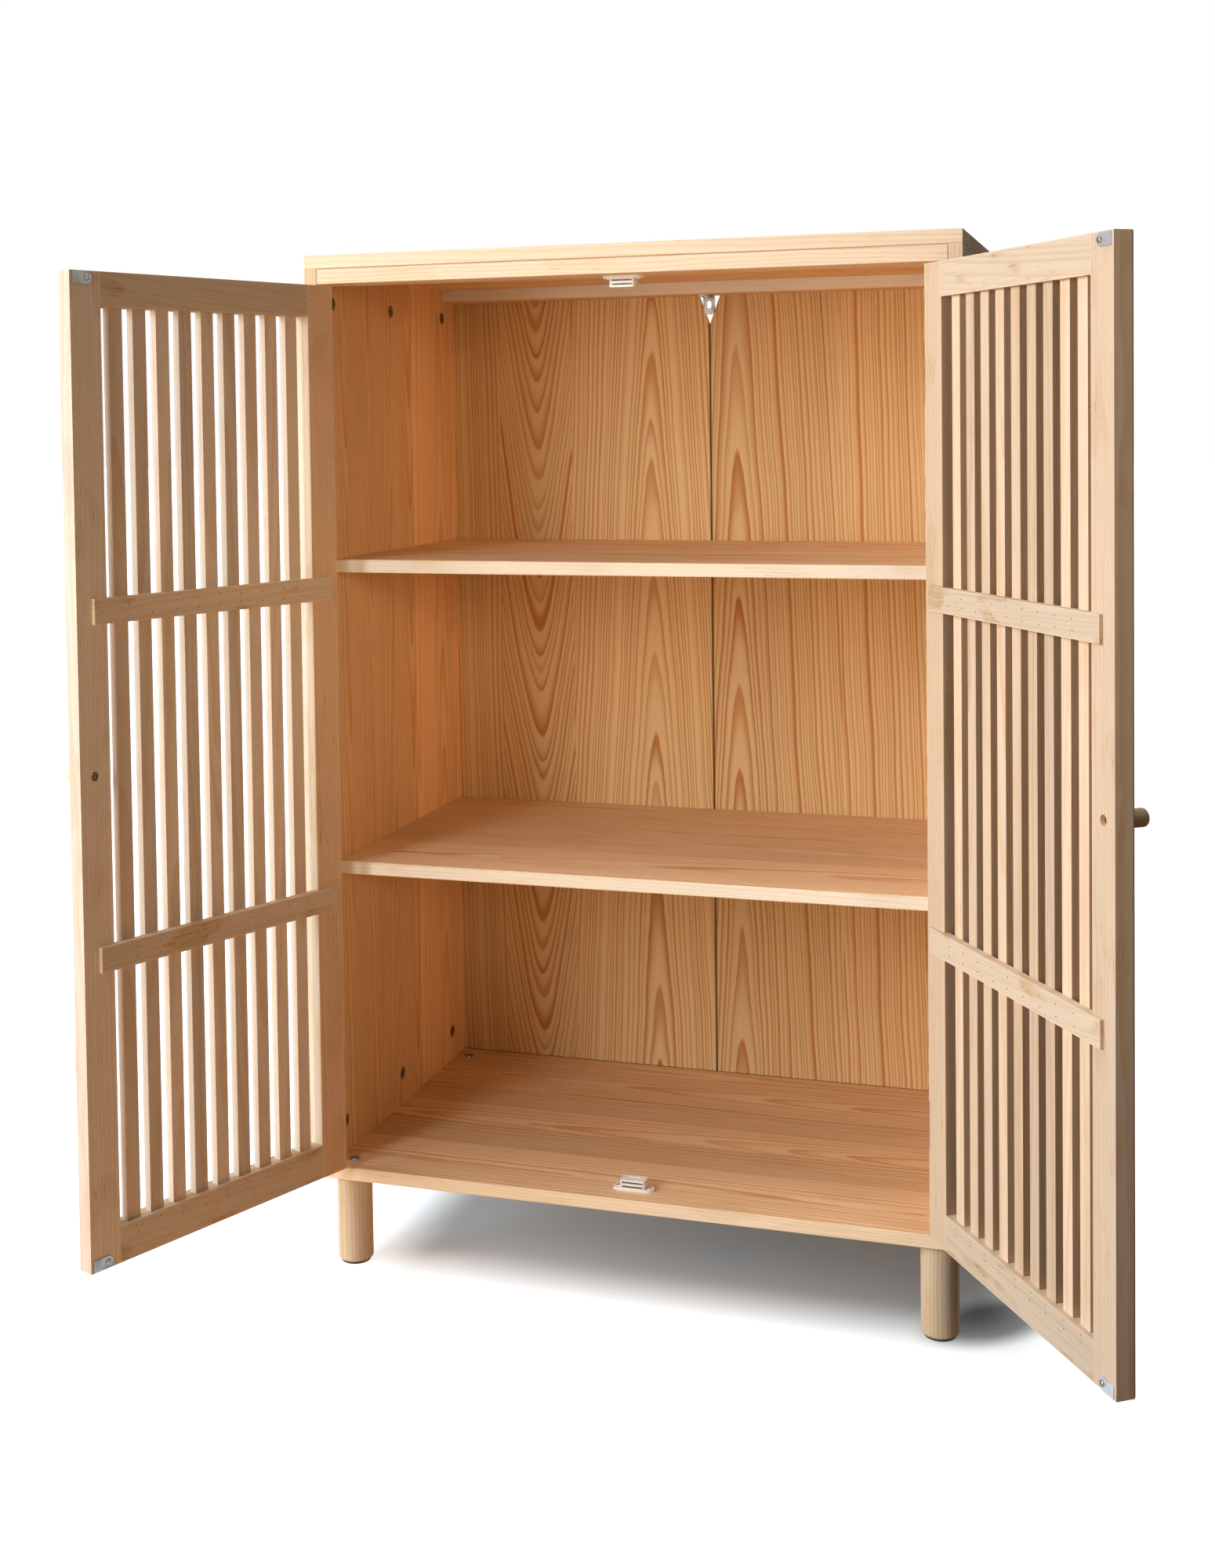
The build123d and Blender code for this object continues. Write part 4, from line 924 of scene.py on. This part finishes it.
class Repeat:
    """The trees that repeat a small piece, run as a modifier and turned into a plain mesh."""

    def __init__(self) -> None:
        """Build the two trees: pieces on marked points, and pieces in rows."""
        self.on_points = self.points_tree()
        self.in_rows = self.rows_tree()

    @staticmethod
    def start(name: str, inputs: list[GroupInput]) -> tuple[Graph, dict, bpy.types.Node]:
        """Start a geometry tree.

        Args:
            name: The tree's name.
            inputs: Its inputs after the geometry.

        Returns:
            The graph, the sockets of its inputs by name, and its output node.
        """
        tree = bpy.data.node_groups.new(name, "GeometryNodeTree")
        tree.interface.new_socket("Geometry", in_out="INPUT", socket_type="NodeSocketGeometry")
        for item in inputs:
            tree.interface.new_socket(item.name, in_out="INPUT", socket_type=f"NodeSocket{item.kind}")
        tree.interface.new_socket("Geometry", in_out="OUTPUT", socket_type="NodeSocketGeometry")
        graph = Graph(tree)
        sockets = {s.name: s for s in graph.add("NodeGroupInput").outputs}
        return graph, sockets, graph.add("NodeGroupOutput")

    @staticmethod
    def spread(graph: Graph, at: dict, out: bpy.types.Node, points: object, facing: object) -> None:
        """Stand the piece on points, each turned at random about its axis, and make it real.

        Args:
            graph: The tree's graph.
            at: The sockets of its inputs.
            out: Its output node.
            points: The points.
            facing: The direction that each piece faces.
        """
        stand = graph.add("FunctionNodeAlignRotationToVector", {"Vector": facing}, axis="Z")
        angle = graph.add("FunctionNodeRandomValue", {"Seed": at["Seed"]}, data_type="FLOAT")
        spin = graph.add("FunctionNodeAxisAngleToRotation",
                         {"Axis": (0.0, 0.0, 1.0), "Angle": graph.math("MULTIPLY", angle.outputs[1], math.tau)})
        turn = graph.add("FunctionNodeRotateRotation",
                         {"Rotation": stand.outputs[0], "Rotate By": spin.outputs[0]},
                         rotation_space="LOCAL")
        piece = graph.add("GeometryNodeObjectInfo", {"Object": at["Piece"]})
        stood = graph.add("GeometryNodeInstanceOnPoints",
                          {"Points": points, "Instance": piece.outputs["Geometry"],
                           "Rotation": turn.outputs[0], "Scale": at["Size"]})
        real = graph.add("GeometryNodeRealizeInstances", {"Geometry": stood.outputs[0]})
        dressed = graph.add("GeometryNodeSetMaterial",
                            {"Geometry": real.outputs[0], "Material": at["Material"]})
        graph.feed(out.inputs[0], dressed.outputs[0])

    @classmethod
    def points_tree(cls) -> bpy.types.NodeTree:
        """Build the tree that stands a piece on each vertex, along the vertex's own axis."""
        graph, at, out = cls.start("pieces_on_points", [
            GroupInput("Piece", "Object"), GroupInput("Size", "Vector"), GroupInput("Seed", "Int"),
            GroupInput("Material", "Material")])
        axis = graph.add("GeometryNodeInputNamedAttribute", {"Name": "axis"}, data_type="FLOAT_VECTOR")
        cls.spread(graph, at, out, at["Geometry"], axis.outputs["Attribute"])
        return graph.tree

    @classmethod
    def rows_tree(cls) -> bpy.types.NodeTree:
        """Build the tree that stands pieces in straight rows, each a little out of line."""
        graph, at, out = cls.start("pieces_in_rows", [
            GroupInput("Piece", "Object"), GroupInput("Size", "Vector"), GroupInput("Seed", "Int"),
            GroupInput("Material", "Material"), GroupInput("Count", "Int"), GroupInput("Pitch", "Float"),
            GroupInput("Rows", "Int"), GroupInput("Row Pitch", "Float"), GroupInput("Stray", "Float")])
        wide = graph.math("MULTIPLY", graph.math("SUBTRACT", at["Count"], 1.0), at["Pitch"])
        high = graph.math("MULTIPLY", graph.math("SUBTRACT", at["Rows"], 1.0), at["Row Pitch"])
        grid = graph.add("GeometryNodeMeshGrid", {"Size X": wide, "Size Y": high,
                                                  "Vertices X": at["Count"], "Vertices Y": at["Rows"]})
        stray = graph.add("FunctionNodeRandomValue", {"Min": (-1.0, -1.0, 0.0), "Max": (1.0, 1.0, 0.0),
                                                      "Seed": at["Seed"]}, data_type="FLOAT_VECTOR")
        reach = graph.join(at["Stray"], at["Stray"], 0.0)
        offset = graph.vector("MULTIPLY", stray.outputs[0], reach)
        moved = graph.add("GeometryNodeSetPosition", {"Geometry": grid.outputs[0], "Offset": offset})
        cls.spread(graph, at, out, moved.outputs[0], (0.0, 0.0, 1.0))
        return graph.tree

    @staticmethod
    def run(carrier: bpy.types.Object, tree: bpy.types.NodeTree, values: dict, name: str) -> bpy.types.Object:
        """Run a tree on a carrier and keep the result as a plain mesh.

        Args:
            carrier: The object that carries the modifier, which is removed.
            tree: The tree.
            values: The values of its inputs, by name.
            name: The name of the new piece.

        Returns:
            The new piece.
        """
        modifier = carrier.modifiers.new(tree.name, "NODES")
        modifier.node_group = tree
        for item in tree.interface.items_tree:
            if item.in_out == "INPUT" and item.name in values:
                modifier[item.identifier] = values[item.name]
        depsgraph = bpy.context.evaluated_depsgraph_get()
        mesh = bpy.data.meshes.new_from_object(carrier.evaluated_get(depsgraph))
        carrier.modifiers.remove(modifier)
        bpy.data.objects.remove(carrier)
        mesh.name = name
        return link(name, mesh)


# The cabinet's own parts

def opening_of(joint: str) -> float:
    """Return how far a door stands open at rest, in radians."""
    row = next(row for row in frame["joints"] if row["name"] == joint)
    return -math.radians(row["range_deg"][0])


def wear(node: str, material: bpy.types.Material) -> None:
    """Give a node of the frame its finished material."""
    mesh = frame["nodes"][node].data
    if mesh.materials:
        mesh.materials[0] = material
    else:
        mesh.materials.append(material)
    log.info("%s wears %s", node, material.name)


@dataclass
class Carcass:
    """The box, its shelves, back and legs."""

    timber: Timber
    beech: tuple[str, ...] = ("corner_dowels",)

    def boards(self) -> list[Board]:
        """Return the carcass's wooden nodes."""
        found = [Board("top_panel", Lie.LEVEL, INSIDE, -1.0),
                 Board("bottom_panel", Lie.LEVEL, FLOOR_PANEL, 1.0),
                 Board("left_side_panel", Lie.SIDEWAYS, SIDE, -1.0),
                 Board("right_side_panel", Lie.SIDEWAYS, SIDE, 1.0),
                 Board("upper_shelf", Lie.LEVEL, SHELF), Board("lower_shelf", Lie.LEVEL, SHELF),
                 Board("front_top_rail", Lie.LEVEL, RAIL_FRONT),
                 Board("rear_top_rail", Lie.LEVEL, REAR_RAIL),
                 Board("back_panel_left", Lie.UPRIGHT, BACK, -1.0),
                 Board("back_panel_right", Lie.UPRIGHT, BACK, -1.0)]
        found += [Board(f"{end}_{side}_leg", Lie.UPRIGHT, TURNED)
                  for end in ("front", "rear") for side in ("left", "right")]
        return found

    def dress(self) -> None:
        """Give every board of the carcass its own piece of pine."""
        for seed, board in enumerate(self.boards(), start=1):
            wear(board.node, self.timber.cut(board, seed, 0.0))
        for node in self.beech:
            wear(node, self.timber.cut(Board(node, Lie.LEVEL, TURNED), len(self.boards()) + 1, 0.0))


@dataclass
class Door:
    """One slatted door: its wooden pieces and the brads that hold the slats."""

    side: str
    way: float
    timber: Timber
    first_seed: int
    brad: float = 1.5 * MM
    brad_rise: float = 0.25 * MM
    rail_rows: tuple[float, float] = (5 * MM, 12 * MM)
    slat_pitch: float = 28.95 * MM
    slat_count: int = 9

    @property
    def body(self) -> str:
        """Return the name of the door's body."""
        return f"{self.side}_door"

    @property
    def turn(self) -> float:
        """Return the door's turn about the vertical at rest, in radians."""
        return -self.way * opening_of(f"{self.side}_door_hinge")

    def boards(self) -> list[Board]:
        """Return the door's wooden nodes."""
        pines = DOOR_PINES[self.side]
        return [Board(f"{self.side}_hinge_stile", Lie.UPRIGHT, pines.hinge_stile),
                Board(f"{self.side}_free_stile", Lie.UPRIGHT, pines.free_stile),
                Board(f"{self.side}_top_rail", Lie.RAIL, pines.rail),
                Board(f"{self.side}_bottom_rail", Lie.RAIL, pines.rail),
                Board(f"{self.side}_slats", Lie.UPRIGHT, pines.slat),
                Board(f"{self.side}_upper_batten", Lie.RAIL, pines.rail),
                Board(f"{self.side}_lower_batten", Lie.RAIL, pines.rail),
                Board(f"{self.side}_knob", Lie.PEG, KNOB)]

    def dress(self) -> None:
        """Give every wooden piece of the door its own piece of pine."""
        for seed, board in enumerate(self.boards(), start=self.first_seed):
            wear(board.node, self.timber.cut(board, seed, self.turn))

    def place(self, node: str) -> tuple[Matrix, np.ndarray, np.ndarray]:
        """Find a node in the door's own axes.

        Args:
            node: The node's name.

        Returns:
            The rotation from the door's axes to the shared frame, and the node's lowest and highest
            corners in the door's axes.
        """
        turn = Matrix.Rotation(self.turn, 3, "Z")
        corners = np.array([v.co for v in frame["nodes"][node].data.vertices]) @ np.array(turn)
        return turn, corners.min(0), corners.max(0)

    def nail(self, repeat: Repeat, head: bpy.types.Object, steel: bpy.types.Material) -> None:
        """Drive the rows of brads that hold the slats to the bottom rail and the battens.

        Args:
            repeat: The trees that repeat small pieces.
            head: The model of one brad's head, of unit size.
            steel: The brads' material.
        """
        for number, part in enumerate(("bottom_rail", "upper_batten", "lower_batten")):
            turn, low, high = self.place(f"{self.side}_{part}")
            row_pitch = self.rail_rows[1] - self.rail_rows[0]
            if part == "bottom_rail":
                middle = high[2] - sum(self.rail_rows) / 2
            else:
                middle, row_pitch = (low[2] + high[2]) / 2, (high[2] - low[2]) * BATTEN_ROW_SHARE
            name = f"{self.side}_{part}_brads"
            carrier = link(name, bpy.data.meshes.new(name))
            values = {"Piece": head, "Size": (self.brad, self.brad, self.brad_rise),
                      "Seed": self.first_seed + number, "Material": steel, "Count": self.slat_count,
                      "Pitch": self.slat_pitch, "Rows": 2, "Row Pitch": row_pitch, "Stray": 1.2 * MM}
            piece = repeat.run(carrier, repeat.in_rows, values, name)
            inwards = turn @ Vector((0, 1, 0))
            across = turn @ Vector((-1, 0, 0))
            middle_point = turn @ Vector(((low[0] + high[0]) / 2, high[1], middle))
            place = Matrix((across, Vector((0, 0, 1)), inwards)).transposed().to_4x4()
            piece.data.transform(Matrix.Translation(middle_point) @ place)
            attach(piece, self.body)
            log.info("%s on %s", name, self.body)


@dataclass
class Hardware:
    """The screws, bolts, cams, hinges, catches and plates."""

    doors: tuple[Door, ...]
    repeat: Repeat
    pan: bpy.types.Object
    flat: bpy.types.Object
    finishes: dict

    def dress(self) -> None:
        """Give every fitting its finish."""
        table = {
            Fitting.ZINC: ("cam_bolts",),
            Fitting.LIT_PLATE: ("right_strike_plates",),
            Fitting.SHADED_PLATE: ("left_strike_plates",),
            Fitting.BRACKET: ("wall_bracket",),
            Fitting.NICKEL: ("hinge_pins", "carcass_hinge_leaves", "left_hinge_leaves",
                             "right_hinge_leaves"),
            Fitting.CAM: ("cam_locks",),
            Fitting.IRON: ("shelf_pins", "catch_pole_plates"),
            Fitting.FERRITE: ("catch_magnets",),
            Fitting.WHITE: ("upper_catch_housing", "lower_catch_housing"),
            Fitting.DARK: ("foot_glides",),
        }
        for finish, nodes in table.items():
            for node in nodes:
                wear(node, self.finishes[finish])

    def screw(self) -> None:
        """Model the heads of all screws and bolts over their solids."""
        up, down = Vector((0, 0, 1)), Vector((0, 0, -1))
        middle_height = 0.6

        def sideways(centre: Vector) -> Vector:
            """Return the way that a carcass hinge screw's head faces."""
            return Vector((-math.copysign(1.0, centre.x), 0, 0))

        def to_middle(centre: Vector) -> Vector:
            """Return the way that a catch's screw faces."""
            return down if centre.z > middle_height else up

        rows = [("leg_bolts", lambda centre: up, self.pan, 11.0, 2.2, CARCASS, Fitting.SCREW),
                ("wall_bracket_screw", lambda centre: down, self.pan, 9.5, 2.2, CARCASS, Fitting.ZINC),
                ("catch_screws", to_middle, self.pan, 5.5, 1.2, CARCASS, Fitting.NICKEL),
                ("rail_screws", lambda centre: down, self.flat, 8.0, 2.0, CARCASS, Fitting.ZINC),
                ("back_screws", lambda centre: Vector((0, 1, 0)), self.flat, 6.0, 1.5, CARCASS, Fitting.ZINC),
                ("carcass_hinge_screws", sideways, self.flat, 5.4, 1.5, CARCASS, Fitting.NICKEL)]
        for door in self.doors:
            turn = Matrix.Rotation(door.turn, 3, "Z")
            inwards = turn @ Vector((0, 1, 0))
            outwards = turn @ Vector((-door.way, 0, 0))
            rows += [(f"{door.side}_strike_screws", lambda centre, way=inwards: way, self.pan, 6.0, 1.6,
                      door.body, Fitting.SCREW),
                     (f"{door.side}_knob_screw", lambda centre, way=inwards: way, self.pan, 7.5, 2.6,
                      door.body, Fitting.BRASS),
                     (f"{door.side}_hinge_screws", lambda centre, way=outwards: way, self.flat, 5.4, 1.5,
                      door.body, Fitting.NICKEL)]
        for seed, (node, axis_of, piece, wide, high, body, finish) in enumerate(rows, start=1):
            self.cap(node, axis_of, piece, wide * MM, high * MM, body, finish, seed)

    def cap(self, node: str, axis_of: object, piece: bpy.types.Object, wide: float, high: float,
            body: str, finish: Fitting, seed: int) -> None:
        """Model the heads of one node's screws, which take the node's place.

        Args:
            node: The node of the screws.
            axis_of: A function that gives a head's direction from the middle of its solid.
            piece: The model of one head, of unit size.
            wide: The head's diameter.
            high: The head's height.
            body: The body that the screws ride on.
            finish: The heads' finish.
            seed: A number that sets how the recesses are turned.
        """
        found = heads(node, axis_of, high if piece is self.pan else 0.0)
        mesh = bpy.data.meshes.new(f"{node}_seats")
        mesh.from_pydata([tuple(head.seat) for head in found], [], [])
        axis = mesh.attributes.new("axis", "FLOAT_VECTOR", "POINT")
        axis.data.foreach_set("vector", [part for head in found for part in head.axis])
        values = {"Piece": piece, "Size": (wide, wide, high), "Seed": seed,
                  "Material": self.finishes[finish]}
        made = self.repeat.run(link(f"{node}_seats", mesh), self.repeat.on_points, values, f"{node}_heads")
        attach(made, body)
        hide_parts(node)
        log.info("%s: %d heads on %s", made.name, len(found), body)


# The studio

@dataclass(frozen=True)
class Lamp:
    """A soft far light: where it comes from, how wide it looks, how strong it is and its colour."""

    name: str
    from_direction: tuple[float, float, float]
    spread: float
    level: float
    colour: Colour = (1.0, 1.0, 1.0)

    def hang(self) -> None:
        """Put the lamp in the scene."""
        lamp = bpy.data.lights.new(self.name, "SUN")
        lamp.angle = math.radians(self.spread)
        lamp.energy = self.level * math.pi
        lamp.color = self.colour
        holder = bpy.data.objects.new(self.name, lamp)
        holder.rotation_euler = Vector(self.from_direction).to_track_quat("Z", "Y").to_euler()
        bpy.context.scene.collection.objects.link(holder)


@dataclass(frozen=True)
class SoftBox:
    """A near soft light: where it stands, what it faces, its size, strength there and beam."""

    name: str
    place: tuple[float, float, float]
    aim: tuple[float, float, float]
    size: tuple[float, float]
    level: float
    colour: Colour = (1.0, 1.0, 1.0)
    beam: float = 180.0

    def hang(self) -> None:
        """Put the soft box in the scene."""
        way = Vector(self.place) - Vector(self.aim)
        lamp = bpy.data.lights.new(self.name, "AREA")
        lamp.shape = "RECTANGLE"
        lamp.size, lamp.size_y = self.size
        lamp.energy = self.level * (math.pi * way.length) ** 2
        lamp.color = self.colour
        lamp.spread = math.radians(self.beam)
        holder = bpy.data.objects.new(self.name, lamp)
        holder.location = self.place
        holder.rotation_euler = way.to_track_quat("Z", "Y").to_euler()
        holder.visible_camera = False
        bpy.context.scene.collection.objects.link(holder)


@dataclass(frozen=True)
class Studio:
    """The pale floor, the white background and the lamps."""

    lamps: tuple[Lamp | SoftBox, ...] = (
        Lamp("key", (-0.84, -0.54, 0.30), 30.0, 0.54),
        SoftBox("front", (-1.20, -2.30, 1.45), (0.0, 0.21, 0.6), (1.2, 1.6), 0.50, (1.0, 0.97, 0.93)),
        SoftBox("fill", (1.00, -1.70, 1.1), (-0.37, -0.10, 0.74), (0.5, 0.6), 0.007, (1.0, 0.78, 0.56), 27.0),
        Lamp("overhead", (-0.2, 0.15, 1.0), 45.0, 0.46),
        Lamp("rear", (0.75, 0.85, 0.30), 30.0, 0.15, (1.0, 0.93, 0.84)),
    )
    ambient: Colour = (0.062, 0.05, 0.038)
    floor_reach: float = 40.0
    # The floor's colour under the cabinet: a painted cool tint against the wood's warm light, and painted shade
    # darker from left to right.
    cool_hue: Colour = (0.65, 1.0, 1.38)
    mild_hue: Colour = (0.87, 1.0, 1.12)
    mild_right: tuple[float, float] = (0.05, 0.3)
    warm_front: tuple[float, float] = (-0.2, -0.03)
    warm_rear: tuple[float, float] = (0.0, 0.12)
    floor_levels: tuple[float, float] = (0.62, 0.26)
    level_run: tuple[float, float] = (-0.35, 0.55)
    floor_bounce: Colour = (0.92, 0.64, 0.43)
    flag_middle: tuple[float, float, float] = (0.75, -0.9, 0.0)
    flag_edge: tuple[float, float] = (0.5, 1.1)
    flag_side: tuple[float, float] = (0.25, 0.7)
    flagged_bounce: Colour = (0.04, 0.03, 0.025)
    # The shadow under the cabinet is partly real and partly painted: the floor's white emission falls to the
    # lift inside this box.
    shadow_middle: tuple[float, float, float] = (0.055, 0.05, 0.0)
    shadow_across: tuple[float, float] = (0.305, 0.42)
    shadow_along: tuple[float, float] = (0.168, 0.314)
    lift: float = 0.07
    # A painted shadow on the floor beside the right front leg.
    leg_shade: tuple[float, float, float] = (0.382, -0.146, 0.0)
    leg_shade_size: tuple[float, float, float] = (0.09, 0.05, 1.0)
    leg_shade_edge: tuple[float, float] = (0.45, 1.15)
    leg_shade_depth: float = 0.68

    def build(self) -> None:
        """Lay the floor, set the background and hang the lamps."""
        self.lay_floor()
        self.set_world()
        for lamp in self.lamps:
            lamp.hang()
            log.info("%s lamp", lamp.name)

    @staticmethod
    def seen(graph: Graph) -> bpy.types.NodeSocket:
        """Return 1 for rays that the camera, a mirror or glass sends, and 0 for rays of light."""
        path = graph.add("ShaderNodeLightPath").outputs
        ways = graph.math("MAXIMUM", path["Is Camera Ray"], path["Is Glossy Ray"])
        return graph.math("MAXIMUM", ways, path["Is Transmission Ray"])

    def lay_floor(self) -> None:
        """Lay a floor that is white but for the object's shadow, which is partly real and partly painted by its
        emission.
        """
        side = self.floor_reach
        mesh = bpy.data.meshes.new("floor")
        mesh.from_pydata([(-side, -side, 0), (side, -side, 0), (side, side, 0), (-side, side, 0)],
                         [], [(0, 1, 2, 3)])
        floor = link("floor", mesh)
        material = bpy.data.materials.new("studio_floor")
        material.use_nodes = True
        graph = Graph(material.node_tree)
        shader = material.node_tree.nodes["Principled BSDF"]
        for name, value in (("Roughness", 0.95), ("Specular IOR Level", 0.0),
                            ("Emission Color", (1.0, 1.0, 1.0, 1.0))):
            shader.inputs[name].default_value = value
        seen = self.seen(graph)
        coords = graph.add("ShaderNodeTexCoord").outputs["Object"]
        x = graph.split(coords)[0]
        reach = graph.add("ShaderNodeVectorMath", {0: coords, 1: self.flag_middle}, operation="DISTANCE")
        left = graph.math("SUBTRACT", 1.0, graph.step(x, *self.flag_side))
        open_floor = graph.math("MULTIPLY", graph.step(reach.outputs["Value"], *self.flag_edge), left)
        bounce = graph.mix(open_floor, self.flagged_bounce, self.floor_bounce)
        # A painted shadow beside the right front leg, which darkens both the colour and the emission.
        shade = graph.add("ShaderNodeMapping", {"Vector": coords, "Location": self.leg_shade,
                                                "Rotation": (0.0, 0.0, math.radians(45.0)),
                                                "Scale": self.leg_shade_size}, vector_type="TEXTURE")
        away = graph.add("ShaderNodeVectorMath", {0: shade.outputs[0]}, operation="LENGTH").outputs["Value"]
        dark = graph.math("SUBTRACT", 1.0, graph.step(away, *self.leg_shade_edge))
        light = graph.math("MULTIPLY_ADD", dark, -self.leg_shade_depth, 1.0)
        graph.feed(shader.inputs["Base Color"], graph.mix(seen, bounce, self.floor_tone(graph, coords, light)))
        # Painted shadow under the cabinet: the white emission falls to the lift there.
        across, along, _ = graph.split(graph.vector("ABSOLUTE",
                                                    graph.vector("SUBTRACT", coords, self.shadow_middle)))
        far = graph.either(graph.step(across, *self.shadow_across), graph.step(along, *self.shadow_along))
        glow = graph.math("MULTIPLY_ADD", far, 1.0 - self.lift, self.lift)
        glow = graph.math("MULTIPLY", glow, light)
        graph.feed(shader.inputs["Emission Strength"], graph.math("MULTIPLY", glow, seen))
        mesh.materials.append(material)
        log.info("floor")

    def floor_tone(self, graph: Graph, coords: bpy.types.NodeSocket,
                   light: bpy.types.NodeSocket) -> bpy.types.NodeSocket:
        """Return the floor's colour: a painted cool tint against the wood's warm light, and painted shade
        darker to the right.

        Args:
            graph: The floor's nodes.
            coords: The place on the floor.
            light: A share by which the floor is darkened beside a leg: a painted shadow.

        Returns:
            The colour's socket.
        """
        x, y, _ = graph.split(coords)
        warm = graph.math("MULTIPLY", graph.step(y, *self.warm_front),
                          graph.math("SUBTRACT", 1.0, graph.step(y, *self.warm_rear)))
        mild = graph.either(graph.step(x, *self.mild_right), graph.math("SUBTRACT", 1.0, warm))
        hue = graph.mix(mild, self.cool_hue, self.mild_hue)
        left, right = self.floor_levels
        level = graph.math("MULTIPLY_ADD", graph.step(x, *self.level_run), right - left, left)
        level = graph.math("MULTIPLY", level, light)
        return graph.vector("MULTIPLY", hue, graph.join(level, level, level))

    def set_world(self) -> None:
        """Light the scene faintly from all round, before a white background."""
        world = bpy.data.worlds.new("studio")
        world.use_nodes = True
        bpy.context.scene.world = world
        graph = Graph(world.node_tree)
        background = world.node_tree.nodes["Background"]
        seen = self.seen(graph)
        graph.feed(background.inputs["Color"], graph.mix(seen, self.ambient, (1.0, 1.0, 1.0)))


@dataclass(frozen=True)
class Viewpoint:
    """The camera where the photograph was taken from."""

    place: tuple[float, float, float] = (0.5727, -2.1686, 0.9574)
    yaw: float = 17.61
    pitch: float = -2.11
    roll: float = 0.72
    lens: float = 43.70
    shift: tuple[float, float] = (0.0200, -0.1848)

    def set(self) -> None:
        """Put the camera in the scene and look through it."""
        camera = bpy.data.cameras.new("camera")
        camera.lens = self.lens
        camera.sensor_fit = "AUTO"
        camera.shift_x, camera.shift_y = self.shift
        turn = (Matrix.Rotation(math.radians(self.yaw), 3, "Z")
                @ Matrix.Rotation(math.radians(self.pitch), 3, "X")
                @ Matrix.Rotation(math.radians(self.roll), 3, "Y"))
        right, forward, up = turn.transposed()
        holder = bpy.data.objects.new("camera", camera)
        holder.matrix_world = (Matrix.Translation(self.place)
                               @ Matrix((right, up, -forward)).transposed().to_4x4())
        bpy.context.scene.collection.objects.link(holder)
        bpy.context.scene.camera = holder
        log.info("camera")


def main() -> None:
    """Dress the cabinet, piece by piece, and light it."""
    logging.basicConfig(level=logging.INFO, format="%(message)s")
    bpy.context.scene.view_settings.view_transform = "Standard"
    Viewpoint().set()
    timber = Timber()
    Carcass(timber).dress()
    doors = (Door("left", 1.0, timber, 30), Door("right", -1.0, timber, 50))
    mottle = mottle_group()
    finishes = {fitting: fitting.value.material(fitting.name.lower(), mottle) for fitting in Fitting}
    repeat = Repeat()
    pan = screw_head("pan_head", PAN_RIM, 0.0, 0.6)
    flat = screw_head("flat_head", FLAT_RIM, -1.0, 0.8)
    brad = link("brad_head", mesh_of("brad_head", lathe([(0, 0), *BRAD_RIM, (0, 1)], 12)))
    for door in doors:
        door.dress()
        door.nail(repeat, brad, finishes[Fitting.IRON])
    hardware = Hardware(doors, repeat, pan, flat, finishes)
    hardware.dress()
    hardware.screw()
    for pattern in (pan, flat, brad):
        bpy.data.objects.remove(pattern)
    Studio().build()


if __name__ == "__main__":
    main()
